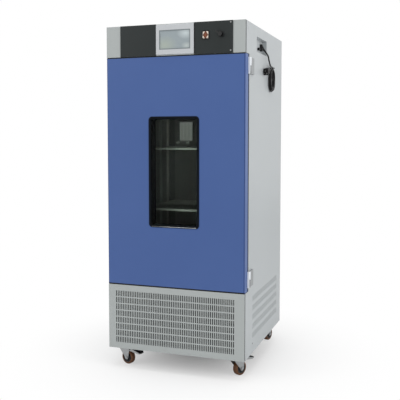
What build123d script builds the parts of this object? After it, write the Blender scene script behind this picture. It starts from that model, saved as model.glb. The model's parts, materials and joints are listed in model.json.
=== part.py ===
from build123d import *
import math
import os

os.makedirs("parts", exist_ok=True)

# A floor-standing plant growth chamber on casters, in millimetres.
# X runs to the right, Y to the back, Z up, and the front face looks towards -Y.
# Everything is drawn round the cabinet's own centre line, and moved at the end so that
# the origin is on the floor, under the middle of the object's box without its cord.

# Cabinet
cabinet_width = 740.0
cabinet_depth = 800.0
body_height = 1670.0
machine_height = 338.0
control_height = 156.0
sheet = 1.5
running_gap = 0.3

# Door
door_thickness = 62.0
door_edge_gap = 3.0
gasket_thickness = 5.0
gasket_width = 18.0
gasket_inset = 26.0
door_corner = 3.0
door_liner_thickness = 3.0
grip_height = 150.0
grip_width = 36.0
grip_depth = 25.0
grip_centre_z = 1030.0

# Window in the door
window_width = 262.0
window_height = 553.0
window_centre_x = -2.0
window_centre_z = 1036.0
window_corner = 14.0
window_rim = 8.0
window_lip = 5.0
window_lip_thickness = 1.5
pane_thickness = 4.0
pane_groove = 4.0
outer_pane_set_back = 3.0
inner_pane_set_back = 5.0

# Chamber
chamber_width = 580.0
chamber_margin = 63.0
chamber_back_wall = 72.0
frame_thickness = 2.0
frame_overlap = 20.0
duct_depth = 66.0
duct_sheet = 2.0
lamp_radius = 8.0
lamp_length = 900.0
lamp_standoff = 14.0
lamp_holder_height = 34.0
lamps_per_side = 3
lamp_pitch = 150.0
lamp_first_y = -210.0
guard_thickness = 3.0
guard_space = 37.0
guard_front_gap = 8.0
upright_thickness = 3.0
upright_width = 24.0
upright_front_y = -190.0
upright_back_y = 137.5
slot_pitch_upright = 75.0
slot_first_upright = 42.0
slot_width_upright = 7.0
slot_height_upright = 15.0
lower_shelf_slot = 4
upper_shelf_slot = 8
lower_shelf_drop = 21.0
upper_shelf_drop = 0.0
clip_length = 14.0
clip_width = 12.0
clip_height = 8.0
clip_web = 2.0
shelf_wire = 4.0
shelf_frame = 6.0
shelf_side_gap = 2.5
shelf_front_reach = 90.0
shelf_back_reach = 88.0
shelf_wires = 15

# Front and side air slots
front_rows = 8
front_row_pitch = 35.0
front_slot_height = 30.5
front_slot_width = 5.0
front_slot_pitch = 20.0
front_slots = 33
front_slots_centre_x = -6.0
front_slots_centre_z = 275.0
side_rows = 5
side_row_pitch = 48.0
side_slot_height = 30.0
side_slot_width = 5.0
side_slot_pitch = 30.0
side_slots = 19
side_slots_centre_y = 27.0
side_slots_centre_z = 293.0
back_rows = 2
back_row_pitch = 80.0
back_slot_height = 60.0
back_slot_width = 8.0
back_slot_pitch = 36.0
back_slots = 11
back_slots_centre_z = 270.0

# Control fascia
plate_thickness = 3.0
plate_margin = 3.0
left_plate_start_x = -291.0
left_plate_width = 196.0
right_plate_start_x = 108.6
right_plate_width = 198.4
display_centre_x = 7.0
display_width = 200.4
display_height = 147.0
display_proud = 7.0
display_depth = 34.0
display_border = 4.0
screen_width = 157.0
screen_height = 88.0
screen_set_back = 1.5
screen_thickness = 3.0
screen_rise = -1.0
rocker_x = 169.0
selector_x = 247.0
switch_z = 1711.0
rocker_bezel_width = 36.0
rocker_bezel_height = 44.0
rocker_bezel_proud = 3.0
rocker_width = 28.0
rocker_height = 35.0
rocker_gap = 0.5
rocker_depth = 11.0
rocker_low_end = 11.0
rocker_ridge = 8.0
rocker_high_end = 6.0
rocker_inner_end = 4.5
rocker_pivot_radius = 2.0
rocker_fit = 0.05
selector_radius = 15.5
selector_proud = 4.0
selector_shaft = 4.0
selector_fit = 0.05
selector_lever_length = 30.0
selector_lever_width = 9.0
selector_lever_height = 16.0
selector_hub_radius = 10.5
selector_rest_deg = 142.0

# Screws that show
screw_x = 296.0
screw_zs = (1632.5, 1767.0)
screw_radius = 3.6
screw_head = 1.6
side_screw_y = -248.0
side_screw_z = 155.0

# Hinges on the right side
hinge_height = 80.0
hinge_top_centre_z = 1563.0
hinge_low_centre_z = 506.0
knuckle_radius = 6.0
hinge_pin_radius = 3.5
hinge_fit = 0.05
leaf_thickness = 8.0
door_leaf_length = 14.0
cabinet_leaf_length = 62.0
knuckle_side_gap = 0.5
leaf_knuckle_gap = 0.8

# Casters
caster_height = 106.0
caster_left_x = -318.0
caster_right_x = 304.0
caster_y = 313.0
caster_trail = 24.0
wheel_radius = 37.5
wheel_width = 31.0
wheel_side_gap = 0.6
axle_radius = 5.0
axle_fit = 0.05
axle_head_radius = 8.0
axle_head = 4.0
fork_sheet = 2.5
fork_top_z = 84.0
fork_bridge = 3.5
fork_top_front = 24.0
fork_top_back = 42.0
fork_foot_radius = 12.0
race_radius = 26.0
race_height = 9.6
collar_height = 4.5
kingpin_radius = 6.0
kingpin_head_radius = 10.0
kingpin_head = 3.6
swivel_gap = 0.2
caster_plate_length = 96.0
caster_plate_width = 78.0
caster_plate_thickness = 4.0
front_left_swivel_deg = -17.0
front_right_swivel_deg = 63.0
back_left_swivel_deg = 60.0
back_right_swivel_deg = 75.0
pedal_pivot_x = 34.0
pedal_pivot_z = 79.0
pedal_pin_radius = 2.5
pedal_eye_radius = 4.3
pedal_width = 28.0
pedal_sheet = 3.0
pedal_pad_start = 58.0
pedal_pad_length = 34.0
pedal_pad_width = 36.0
pedal_pad_thickness = 4.5
pedal_pad_z = 91.0
pedal_pad_drop_deg = 14.0

# Base pan and the machinery that stands in it
pan_height = 40.0
pan_sheet = 3.0
compressor_x = -190.0
compressor_y = 60.0
compressor_radius = 72.0
compressor_height = 190.0
compressor_foot_height = 14.0
condenser_x = 130.0
condenser_back_gap = 100.0
condenser_width = 360.0
condenser_height = 250.0
condenser_depth = 44.0
condenser_fins = 17
condenser_fin = 3.0
condenser_fan_radius = 100.0
condenser_motor_radius = 40.0
condenser_motor_length = 50.0
condenser_fan_gap = 12.0

# Air duct behind the chamber
chamber_fan_z = 1400.0
chamber_fan_radius = 72.0
chamber_motor_radius = 34.0
chamber_motor_length = 24.0
fan_shaft_radius = 4.0
fan_fit = 0.05
fan_hub_radius = 18.0
fan_hub_length = 20.0
fan_blades = 5
fan_blade_thickness = 2.5
fan_blade_pitch_deg = 35.0
fan_blade_chord = 42.0
duct_slot_width = 180.0
duct_slot_height = 9.0
duct_slot_pitch = 20.0
duct_fan_slots = 7
duct_return_slots = 6
duct_return_z = 600.0
evaporator_width = 400.0
evaporator_height = 150.0
evaporator_depth = 40.0
evaporator_z = 760.0
evaporator_fins = 17
evaporator_fin = 4.0
heater_radius = 6.0
heater_length = 380.0
heater_z = 980.0
probe_radius = 3.0
probe_length = 30.0
probe_xs = (-232.0, -169.0)
probe_z = 1178.0
louvre_x = -180.5
louvre_width = 81.0
louvre_low_z = 1192.0
louvre_height = 110.0
louvre_depth = 6.0
louvre_ribs = 9

# Controller on the deck under the roof
controller_x = -120.0
controller_y = 60.0
controller_width = 220.0
controller_depth = 150.0
controller_height = 70.0
controller_ribs = 8

# Power recess in the right side
recess_front_y = -187.0
recess_back_y = 23.0
recess_low_z = 1647.0
recess_high_z = 1724.0
recess_depth = 24.0
recess_flange = 12.0
breaker_y = -24.0
breaker_z = 1687.0
breaker_width = 18.0
breaker_height = 36.0
breaker_depth = 12.0
toggle_radius = 5.0
toggle_width = 8.0
toggle_reach = 12.0
toggle_fit = 0.3
fuse_y = -89.0
fuse_z = 1673.0
fuse_radius = 7.0
fuse_depth = 14.0
gland_y = -4.0
gland_z = 1688.0
gland_radius = 9.0
gland_depth = 8.0
relief_length = 24.0
relief_root_radius = 6.5
relief_tip_radius = 4.6
relief_direction = (0.60, 0.18, -0.78)

# Mains lead
cord_diameter = 8.0
hank_centre_y = 110.0
hank_centre_z = 1529.0
hank_half_width = 50.5
hank_run = 27.5
hank_loop_pitch = 10.5
hank_layer_pitch = 8.6
hank_panel_gap = 2.5
tail_radius = 34.0
tail_turn_deg = 105.0
plug_relief_length = 26.0
plug_length = 38.0
plug_width = 36.0
plug_thickness = 27.0
plug_neck_radius = 8.0
pin_length = 18.0
pin_width = 6.3
pin_thickness = 1.6
pin_offset = 7.0
tie_width = 3.0
tie_thickness = 1.2
tie_gap = 0.4
tie_tail = 92.0
lead_straight = 24.0

# Places that follow from the sizes above
half_width = cabinet_width / 2
inside_x = half_width - sheet
front_y = -cabinet_depth / 2
back_y = cabinet_depth / 2
body_bottom = caster_height
body_top = caster_height + body_height
door_zone_low = body_bottom + machine_height
door_zone_high = body_top - control_height
door_back_y = front_y + door_thickness
frame_y = door_back_y + gasket_thickness
frame_back_y = frame_y + frame_thickness
chamber_half = chamber_width / 2
chamber_low = door_zone_low + chamber_margin
chamber_high = door_zone_high - chamber_margin
chamber_back = back_y - chamber_back_wall
duct_y = chamber_back - duct_depth
condenser_y = back_y - condenser_back_gap
guard_x = chamber_half - guard_space
door_low = door_zone_low + door_edge_gap
door_high = door_zone_high - door_edge_gap
pivot_x = half_width + knuckle_radius + knuckle_side_gap
pivot_y = (door_back_y + frame_y) / 2


def block(x0, x1, y0, y1, z0, z1):
    """A box between two corners."""
    centre = Pos((x0 + x1) / 2, (y0 + y1) / 2, (z0 + z1) / 2)
    return centre * Box(abs(x1 - x0), abs(y1 - y0), abs(z1 - z0))


def rod(start, end, radius):
    """A round bar from one point to another."""
    line = Vector(*end) - Vector(*start)
    plane = Plane(origin=Vector(*start), z_dir=line)
    return plane * Cylinder(radius, line.length, align=(Align.CENTER, Align.CENTER, Align.MIN))


def front_plane(y):
    """A drawing plane parallel to the front, with X to the right and its second axis up."""
    return Plane(origin=(0, y, 0), x_dir=(1, 0, 0), z_dir=(0, -1, 0))


def side_plane(x):
    """A drawing plane parallel to the sides, with Y to the right and its second axis up."""
    return Plane(origin=(x, 0, 0), x_dir=(0, 1, 0), z_dir=(1, 0, 0))


def rounded_prism(plane, centre, size, corner, depth):
    """A rounded rectangle drawn on a plane and extruded along the plane's normal."""
    outline = plane * Pos(centre[0], centre[1]) * RectangleRounded(size[0], size[1], corner)
    return extrude(outline, amount=depth)


def slot_grid(plane, centre, pitch, count, size, depth):
    """A grid of upright rectangular slots as cutters that pass through a sheet."""
    spots = GridLocations(pitch[0], pitch[1], count[0], count[1])
    cuts = Sketch() + [spot * Rectangle(size[0], size[1]) for spot in spots]
    placed = plane * Pos(centre[0], centre[1]) * cuts
    return extrude(placed, amount=depth, both=True)


# Casing

def make_base_frame():
    """The pan at the foot of the cabinet: a floor with an upstanding edge."""
    outer = block(-inside_x, inside_x, front_y + sheet, back_y - sheet, body_bottom, body_bottom + pan_height)
    hollow = block(-inside_x + pan_sheet, inside_x - pan_sheet, front_y + sheet + pan_sheet,
                   back_y - sheet - pan_sheet, body_bottom + pan_sheet, body_bottom + pan_height + 1)
    return outer - hollow


def side_panel_outline():
    """The side's outline: full depth at the top and bottom, and set back where the door is."""
    points = [
        (front_y + sheet, body_bottom),
        (back_y - sheet, body_bottom),
        (back_y - sheet, body_top - sheet),
        (front_y + sheet, body_top - sheet),
        (front_y + sheet, door_zone_high),
        (frame_y, door_zone_high),
        (frame_y, door_zone_low),
        (front_y + sheet, door_zone_low),
    ]
    return make_face(Polyline(*points, close=True))


def make_left_side_panel():
    return extrude(side_plane(-half_width) * side_panel_outline(), amount=sheet)


def make_right_side_panel():
    """The side with the air slots and the opening of the power recess."""
    panel = extrude(side_plane(inside_x) * side_panel_outline(), amount=sheet)
    slots = slot_grid(side_plane(half_width), (side_slots_centre_y, side_slots_centre_z),
                      (side_slot_pitch, side_row_pitch), (side_slots, side_rows),
                      (side_slot_width, side_slot_height), 2 * sheet)
    opening = block(inside_x - 1, half_width + 1, recess_front_y, recess_back_y, recess_low_z, recess_high_z)
    return panel - slots - opening


def make_back_panel():
    """The flat back with the machine bay's outlet slots."""
    panel = block(-half_width, half_width, back_y - sheet, back_y, body_bottom, body_top - sheet)
    slots = slot_grid(front_plane(back_y), (0, back_slots_centre_z), (back_slot_pitch, back_row_pitch),
                      (back_slots, back_rows), (back_slot_width, back_slot_height), 2 * sheet)
    return panel - slots


def make_top_cover():
    return block(-half_width, half_width, front_y + sheet, back_y, body_top - sheet, body_top)


def make_lower_front_grille():
    """The removable front under the door, with its rows of slots and a return at the top."""
    face = block(-half_width, half_width, front_y, front_y + sheet, body_bottom, door_zone_low)
    top_return = block(-inside_x, inside_x, front_y, frame_y, door_zone_low - sheet, door_zone_low)
    slots = slot_grid(front_plane(front_y), (front_slots_centre_x, front_slots_centre_z),
                      (front_slot_pitch, front_row_pitch), (front_slots, front_rows),
                      (front_slot_width, front_slot_height), 2 * sheet)
    return face + top_return - slots


def plate_spans():
    """Start and end in X of the two dark plates."""
    left = (left_plate_start_x, left_plate_start_x + left_plate_width)
    right = (right_plate_start_x, right_plate_start_x + right_plate_width)
    return [left, right]


def display_centre_z():
    return (door_zone_high + body_top) / 2


def make_control_fascia():
    """The grey front over the door, cut out for the display and the two switches."""
    face = block(-half_width, half_width, front_y, front_y + sheet, door_zone_high, body_top)
    low_return = block(-inside_x, inside_x, front_y, frame_y, door_zone_high, door_zone_high + sheet)
    hole_x = display_width / 2 - display_border
    hole_z = display_height / 2 - display_border
    display_hole = block(display_centre_x - hole_x, display_centre_x + hole_x, front_y - 1, front_y + sheet + 1,
                         display_centre_z() - hole_z, display_centre_z() + hole_z)
    switch_hole = block(rocker_x - rocker_bezel_width, selector_x + 2 * selector_radius, front_y - 1,
                        front_y + sheet + 1, switch_z - rocker_bezel_height, switch_z + rocker_bezel_height)
    return face + low_return - display_hole - switch_hole


def make_control_plates():
    """The two dark plates on the fascia; the right one carries the switches."""
    plates = []
    for start, end in plate_spans():
        plate = block(start, end, front_y - plate_thickness, front_y,
                      door_zone_high + plate_margin, body_top)
        plates.append(plate)
    rocker_hole = block(rocker_x - rocker_width / 2 - rocker_gap - sheet,
                        rocker_x + rocker_width / 2 + rocker_gap + sheet,
                        front_y - plate_thickness - 1, front_y + 1,
                        switch_z - rocker_height / 2 - rocker_gap - sheet,
                        switch_z + rocker_height / 2 + rocker_gap + sheet)
    selector_hole = rod((selector_x, front_y - plate_thickness - 1, switch_z), (selector_x, front_y + 1, switch_z),
                        selector_radius - plate_thickness)
    plates[1] = plates[1] - rocker_hole - selector_hole
    return plates


def make_panel_screws():
    """The two screws at the right plate's end and the one low on the right side."""
    plate_y = front_y - plate_thickness
    screws = []
    for z in screw_zs:
        screws.append(rod((screw_x, plate_y, z), (screw_x, plate_y - screw_head, z), screw_radius))
    screws.append(rod((half_width, side_screw_y, side_screw_z),
                      (half_width + screw_head, side_screw_y, side_screw_z), screw_radius))
    return screws


def make_display_bezel():
    """The touch panel's housing: a proud frame with the works behind it."""
    front = rounded_prism(front_plane(front_y), (display_centre_x, display_centre_z()),
                          (display_width, display_height), 5, display_proud)
    front = chamfer(front.faces().sort_by(Axis.Y)[0].edges(), 1.5)
    hole_x = display_width / 2 - display_border - 1
    hole_z = display_height / 2 - display_border - 1
    works = block(display_centre_x - hole_x, display_centre_x + hole_x, front_y, front_y + display_depth,
                  display_centre_z() - hole_z, display_centre_z() + hole_z)
    window = block(display_centre_x - screen_width / 2, display_centre_x + screen_width / 2,
                   front_y - display_proud - 1, front_y - display_proud + screen_set_back + screen_thickness,
                   display_centre_z() + screen_rise - screen_height / 2,
                   display_centre_z() + screen_rise + screen_height / 2)
    return front + works - window


def make_display_screen():
    """The glass of the display, bedded in the floor of the housing's window."""
    edge = 0.2
    glass_back = front_y - display_proud + screen_set_back + screen_thickness
    return block(display_centre_x - screen_width / 2 + edge, display_centre_x + screen_width / 2 - edge,
                 glass_back - screen_thickness, glass_back,
                 display_centre_z() + screen_rise - screen_height / 2 + edge,
                 display_centre_z() + screen_rise + screen_height / 2 - edge)


def make_switch_bezels():
    """The rocker switch's frame and the rotary switch's collar, on the right plate."""
    plate_y = front_y - plate_thickness
    frame = rounded_prism(front_plane(plate_y), (rocker_x, switch_z), (rocker_bezel_width, rocker_bezel_height),
                          6, rocker_bezel_proud)
    pocket_x = rocker_width / 2 + rocker_gap
    pocket_z = rocker_height / 2 + rocker_gap
    housing = block(rocker_x - pocket_x - sheet, rocker_x + pocket_x + sheet, plate_y, plate_y + rocker_depth + 8,
                    switch_z - pocket_z - sheet, switch_z + pocket_z + sheet)
    pocket = block(rocker_x - pocket_x, rocker_x + pocket_x, plate_y - rocker_bezel_proud - 1,
                   plate_y + rocker_depth + 6, switch_z - pocket_z, switch_z + pocket_z)
    pivot = rod((rocker_x - pocket_x - sheet / 2, rocker_pivot_y(), switch_z),
                (rocker_x + pocket_x + sheet / 2, rocker_pivot_y(), switch_z), rocker_pivot_radius)
    rocker_frame = frame + housing - pocket + pivot
    collar = rod((selector_x, plate_y, switch_z), (selector_x, plate_y - selector_proud, switch_z), selector_radius)
    body = rod((selector_x, plate_y, switch_z), (selector_x, plate_y + 40, switch_z),
               selector_radius - plate_thickness - 0.3)
    shaft = rod((selector_x, plate_y - selector_proud, switch_z),
                (selector_x, plate_y - selector_proud - selector_lever_height / 2, switch_z), selector_shaft)
    return [rocker_frame, collar + body + shaft]


def rocker_pivot_y():
    return front_y - plate_thickness + 3.0


def make_rocker():
    """The rocker button: two sloped faces that meet over its pivot, and ends round the pivot."""
    r = rocker_height / 2
    y = rocker_pivot_y()

    def end(out, side):
        return (y - out, side * math.sqrt(r * r - out * out))

    low = end(rocker_low_end, -1)
    high = end(rocker_high_end, 1)
    inner_low = end(-rocker_inner_end, -1)
    inner_high = end(-rocker_inner_end, 1)
    outline = Polyline(low, (y - rocker_ridge, 0), high) + \
        ThreePointArc(high, (y, r), inner_high) + \
        Line(inner_high, inner_low) + \
        ThreePointArc(inner_low, (y, -r), low)
    face = make_face(side_plane(rocker_x - rocker_width / 2) * Pos(0, switch_z) * outline)
    body = extrude(face, amount=rocker_width, dir=(1, 0, 0))
    bore = rod((rocker_x - rocker_width, y, switch_z), (rocker_x + rocker_width, y, switch_z),
               rocker_pivot_radius + rocker_fit)
    return body - bore


def make_selector_lever():
    """The rotary switch's handle: a round hub with a tapered lever."""
    base_y = front_y - plate_thickness - selector_proud - running_gap
    hub = rod((0, base_y, 0), (0, base_y - selector_lever_height, 0), selector_hub_radius)
    half = selector_lever_width / 2
    outline = Polyline((-selector_hub_radius, -half), (-selector_hub_radius, half),
                       (selector_lever_length, half * 0.7), (selector_lever_length, -half * 0.7), close=True)
    lever = extrude(front_plane(base_y - 4) * make_face(outline), amount=selector_lever_height - 2)
    bore = rod((0, base_y + 1, 0), (0, base_y - selector_lever_height / 2 - 0.5, 0), selector_shaft + selector_fit)
    handle = hub + lever - bore
    turned = Rot(0, -selector_rest_deg, 0) * handle
    return Pos(selector_x, 0, switch_z) * turned


# Chamber

def make_front_frame():
    """The frame that the door closes on, round the chamber's mouth."""
    plate = block(-inside_x, inside_x, frame_y, frame_back_y,
                  door_zone_low - frame_overlap, door_zone_high + frame_overlap)
    mouth = block(-chamber_half, chamber_half, frame_y - 1, frame_back_y + 1, chamber_low, chamber_high)
    return plate - mouth


def make_chamber_liner():
    """The stainless tub of the chamber, open to the front."""
    outer = block(-chamber_half - sheet, chamber_half + sheet, frame_back_y, chamber_back + sheet,
                  chamber_low - sheet, chamber_high + sheet)
    inner = block(-chamber_half, chamber_half, frame_back_y - 1, chamber_back, chamber_low, chamber_high)
    return outer - inner


def make_body_insulation():
    """The foam round the tub, out to the side, back and upper sheets."""
    outer = block(-inside_x, inside_x, frame_back_y, back_y - sheet, door_zone_low, door_zone_high + sheet)
    tub = block(-chamber_half - sheet, chamber_half + sheet, frame_back_y - 1, chamber_back + sheet,
                chamber_low - sheet, chamber_high + sheet)
    return outer - tub


def make_control_deck():
    """The shelf over the foam that carries the controller."""
    return block(-inside_x, inside_x, frame_back_y, back_y - sheet,
                 door_zone_high + sheet, door_zone_high + 2 * sheet)


def make_duct_cover():
    """The false back wall: fan outlet slots at the top and return slots at the bottom."""
    cover = block(-chamber_half, chamber_half, duct_y, duct_y + duct_sheet, chamber_low, chamber_high)
    outlet = slot_grid(front_plane(duct_y), (0, chamber_fan_z), (1, duct_slot_pitch), (1, duct_fan_slots),
                       (duct_slot_width, duct_slot_height), 3 * duct_sheet)
    inlet = slot_grid(front_plane(duct_y), (0, duct_return_z), (2 * duct_slot_width, duct_slot_pitch),
                      (1, duct_return_slots), (2 * duct_slot_width, duct_slot_height), 3 * duct_sheet)
    cover = cover - outlet - inlet
    return cover


def finned_block(x, y0, y1, z0, width, height, fins, fin):
    """A coil block: end plates, tube bars and upright fins between them."""
    parts = []
    step = (width - fin) / (fins - 1)
    for index in range(fins):
        left = x - width / 2 + index * step
        parts.append(block(left, left + fin, y0, y1, z0, z0 + height))
    depth = y1 - y0
    bar = depth / 5
    for level in (0.2, 0.5, 0.8):
        z = z0 + height * level
        parts.append(block(x - width / 2, x + width / 2, y0 + 2 * bar, y0 + 3 * bar, z - bar / 2, z + bar / 2))
    return parts[0] + parts[1:]


def make_air_coils():
    """The cooling coil and the heating rod in the duct, on the tub's back."""
    low = evaporator_z - evaporator_height / 2
    coil = finned_block(0, chamber_back - evaporator_depth, chamber_back, low, evaporator_width,
                        evaporator_height, evaporator_fins, evaporator_fin)
    y = chamber_back - 22
    bar = rod((-heater_length / 2, y, heater_z), (heater_length / 2, y, heater_z), heater_radius)
    feet = []
    for side in (-1, 1):
        x = side * heater_length * 0.4
        feet.append(block(x - 5, x + 5, y - heater_radius - 3, chamber_back, heater_z - 10, heater_z + 10))
    return [coil, bar + feet]


def make_fan(radius):
    """A fan wheel about the Y axis, with its hub's back face at Y = 0 and blades in front."""
    hub = rod((0, 0, 0), (0, -fan_hub_length, 0), fan_hub_radius)
    blades = []
    for index in range(fan_blades):
        turn = Rot(0, index * 360 / fan_blades, 0)
        pitch = Rot(fan_blade_pitch_deg, 0, 0)
        length = radius - fan_hub_radius * 0.6
        blade = Box(length, fan_blade_thickness, min(0.55 * radius, fan_blade_chord))
        blades.append(turn * Pos(fan_hub_radius * 0.6 + length / 2, -fan_hub_length / 2, 0) * pitch * blade)
    disc = rod((0, radius, 0), (0, -radius, 0), radius)
    wheel = (hub + blades) & disc
    bore = rod((0, 1, 0), (0, -fan_hub_length - 1, 0), fan_shaft_radius + fan_fit)
    return wheel - bore


def chamber_fan_back_y():
    return chamber_back - chamber_motor_length - 6


def condenser_fan_back_y():
    return condenser_y - condenser_depth / 2 - condenser_fan_gap - condenser_motor_length


def condenser_centre_z():
    return body_bottom + pan_sheet + condenser_height / 2


def make_fan_motors():
    """The two fan motors: one on the tub's back wall, one on a bracket in the machine bay."""
    hub_y = chamber_fan_back_y()
    chamber_motor = rod((0, chamber_back, chamber_fan_z), (0, chamber_back - chamber_motor_length, chamber_fan_z),
                        chamber_motor_radius)
    chamber_motor += rod((0, chamber_back - chamber_motor_length, chamber_fan_z),
                         (0, hub_y - fan_hub_length, chamber_fan_z), fan_shaft_radius)
    hub_y = condenser_fan_back_y()
    motor_back = hub_y + condenser_motor_length + 6
    z = condenser_centre_z()
    bay_motor = rod((condenser_x, motor_back, z), (condenser_x, hub_y + 6, z), condenser_motor_radius)
    bay_motor += rod((condenser_x, hub_y + 6, z), (condenser_x, hub_y - fan_hub_length, z), fan_shaft_radius)
    strap_y = motor_back - 4
    bay_motor += block(condenser_x - 12, condenser_x + 12, strap_y, motor_back, body_bottom + pan_sheet, z)
    bay_motor += block(condenser_x - 40, condenser_x + 40, strap_y - 40, motor_back,
                       body_bottom + pan_sheet, body_bottom + 2 * pan_sheet)
    return [chamber_motor, bay_motor]


def make_circulation_fan():
    return Pos(0, chamber_fan_back_y(), chamber_fan_z) * make_fan(chamber_fan_radius)


def make_condenser_fan():
    return Pos(condenser_x, condenser_fan_back_y(), condenser_centre_z()) * make_fan(condenser_fan_radius)


def make_sensor_probes():
    """The temperature and the humidity probe: each a white cap and a stick on the duct cover."""
    probes = []
    for x in probe_xs:
        cap = rod((x, duct_y, probe_z), (x, duct_y - 12, probe_z), 3 * probe_radius)
        stick = rod((x, duct_y - 12, probe_z), (x, duct_y - probe_length, probe_z), probe_radius)
        tip = Pos(x, duct_y - probe_length, probe_z) * Sphere(probe_radius)
        probes.append(cap + stick + tip)
    return probes


def make_outlet_louvre():
    """The small upright-ribbed louvre on the duct cover, seen through the window's top right."""
    left = louvre_x - louvre_width / 2
    right = louvre_x + louvre_width / 2
    high = louvre_low_z + louvre_height
    plate = block(left, right, duct_y - 2, duct_y, louvre_low_z, high)
    pitch = louvre_width / louvre_ribs
    for index in range(louvre_ribs):
        x = left + (index + 0.5) * pitch
        plate += block(x - pitch / 4, x + pitch / 4, duct_y - louvre_depth, duct_y - 2,
                       louvre_low_z + 4, high - 4)
    return plate


def make_lamp_tubes():
    """The upright lamps on the tub's side walls, each with a holder at its two ends."""
    lamps = []
    centre_z = (chamber_low + chamber_high) / 2
    half = lamp_length / 2
    for side in (-1, 1):
        wall = side * chamber_half
        x = wall - side * lamp_standoff
        for index in range(lamps_per_side):
            y = lamp_first_y + index * lamp_pitch
            lamp = rod((x, y, centre_z - half), (x, y, centre_z + half), lamp_radius)
            for end in (-1, 1):
                z = centre_z + end * half
                lamp += block(wall, x - side * (lamp_radius + 2), y - 12, y + 12,
                              z - lamp_holder_height / 2, z + lamp_holder_height / 2)
            lamps.append(lamp)
    return lamps


def make_lamp_guards():
    """The clear sheets between the lamps and the plants, from the tub's floor to its roof."""
    guards = []
    for side in (-1, 1):
        guards.append(block(side * guard_x, side * (guard_x + guard_thickness),
                            frame_back_y + guard_front_gap, duct_y, chamber_low, chamber_high))
    return guards


def upright_slot_zs():
    """The heights of the slots that the shelf clips hook into."""
    zs = []
    z = chamber_low + slot_first_upright
    while z < chamber_high - slot_pitch_upright / 2:
        zs.append(z)
        z += slot_pitch_upright
    return zs


def make_shelf_uprights():
    """Four slotted strips on the lamp guards, from the floor to the roof."""
    strips = []
    heights = upright_slot_zs()
    middle = (heights[0] + heights[-1]) / 2
    for side in (-1, 1):
        inner = side * (guard_x - upright_thickness)
        for y in (upright_front_y, upright_back_y):
            strip = block(side * guard_x, inner, y - upright_width / 2, y + upright_width / 2,
                          chamber_low, chamber_high)
            slots = slot_grid(side_plane(inner), (y, middle), (1, slot_pitch_upright), (1, len(heights)),
                              (slot_width_upright, slot_height_upright), 2 * upright_thickness)
            strips.append(strip - slots)
    return strips


def shelf_places():
    """Each shelf's slot and how far below that slot its clips carry it."""
    return {"lower": (lower_shelf_slot, lower_shelf_drop), "upper": (upper_shelf_slot, upper_shelf_drop)}


def shelf_z(which):
    """The height of a shelf's underside on its clips."""
    slot, drop = shelf_places()[which]
    return upright_slot_zs()[slot] - drop + clip_height / 2 + running_gap


def make_shelf_clips():
    """Two clips a side for each shelf: a tongue in the slot, a web down to the rest, and the rest."""
    clips = []
    face_x = guard_x - upright_thickness
    for slot, drop in shelf_places().values():
        z = upright_slot_zs()[slot]
        low = z - drop - clip_height / 2
        for side in (-1, 1):
            for y in (upright_front_y, upright_back_y):
                tongue = block(side * (face_x + upright_thickness - running_gap), side * face_x,
                               y - slot_width_upright / 2 + running_gap, y + slot_width_upright / 2 - running_gap,
                               z - clip_height / 2, z + clip_height / 2)
                web = block(side * face_x, side * (face_x - clip_web), y - clip_width / 2, y + clip_width / 2,
                            low, z + clip_height / 2)
                rest = block(side * face_x, side * (face_x - clip_length), y - clip_width / 2, y + clip_width / 2,
                             low, low + clip_height)
                clips.append(tongue + web + rest)
    return clips


def make_shelf(which):
    """A shelf: a square-bar frame with bars from front to back over it."""
    low = shelf_z(which)
    half = guard_x - upright_thickness - shelf_side_gap
    y0 = upright_front_y - shelf_front_reach
    y1 = upright_back_y + shelf_back_reach
    outer = block(-half, half, y0, y1, low, low + shelf_frame)
    inner = block(-half + shelf_frame, half - shelf_frame, y0 + shelf_frame, y1 - shelf_frame,
                  low - 1, low + shelf_frame + 1)
    frame = outer - inner
    step = (2 * half - shelf_frame) / (shelf_wires + 1)
    bars = []
    for index in range(1, shelf_wires + 1):
        x = -half + shelf_frame / 2 + index * step
        bars.append(block(x - shelf_wire / 2, x + shelf_wire / 2, y0 + shelf_frame / 2, y1 - shelf_frame / 2,
                          low + shelf_frame - shelf_wire, low + shelf_frame))
    middle = (y0 + y1) / 2
    bars.append(block(-half + shelf_frame / 2, half - shelf_frame / 2, middle - shelf_frame / 2,
                      middle + shelf_frame / 2, low, low + shelf_frame - shelf_wire))
    return frame + bars


# Machine bay and control bay

def make_compressor():
    """The sealed compressor: a domed can on a foot plate with four rubber feet."""
    foot_z = body_bottom + pan_sheet
    can_z = foot_z + compressor_foot_height
    r = compressor_radius
    h = compressor_height - compressor_foot_height
    can = Pos(compressor_x, compressor_y, can_z) * Cylinder(r, h, align=(Align.CENTER, Align.CENTER, Align.MIN))
    can = fillet(can.edges().group_by(Axis.Z)[-1], 0.42 * r)
    can = chamfer(can.edges().group_by(Axis.Z)[0], 0.2 * r)
    seam = Pos(compressor_x, compressor_y, can_z + 0.55 * h) * Cylinder(r + 3, 5)
    plate = block(compressor_x - 0.85 * r, compressor_x + 0.85 * r, compressor_y - 1.15 * r,
                  compressor_y + 1.15 * r, can_z - pan_sheet, can_z + pan_sheet)
    box = block(compressor_x - 0.4 * r, compressor_x + 0.4 * r, compressor_y - r - 22, compressor_y - 0.5 * r,
                can_z + 0.3 * h, can_z + 0.65 * h)
    whole = can + seam + plate + box
    for sx in (-0.65, 0.65):
        for sy in (-0.95, 0.95):
            x = compressor_x + sx * r
            y = compressor_y + sy * r
            whole += rod((x, y, foot_z), (x, y, can_z), 11)
    return whole


def make_condenser():
    """The condenser coil, standing on the pan near the back."""
    return finned_block(condenser_x, condenser_y - condenser_depth / 2, condenser_y + condenser_depth / 2,
                        body_bottom + pan_sheet, condenser_width, condenser_height,
                        condenser_fins, condenser_fin)


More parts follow.
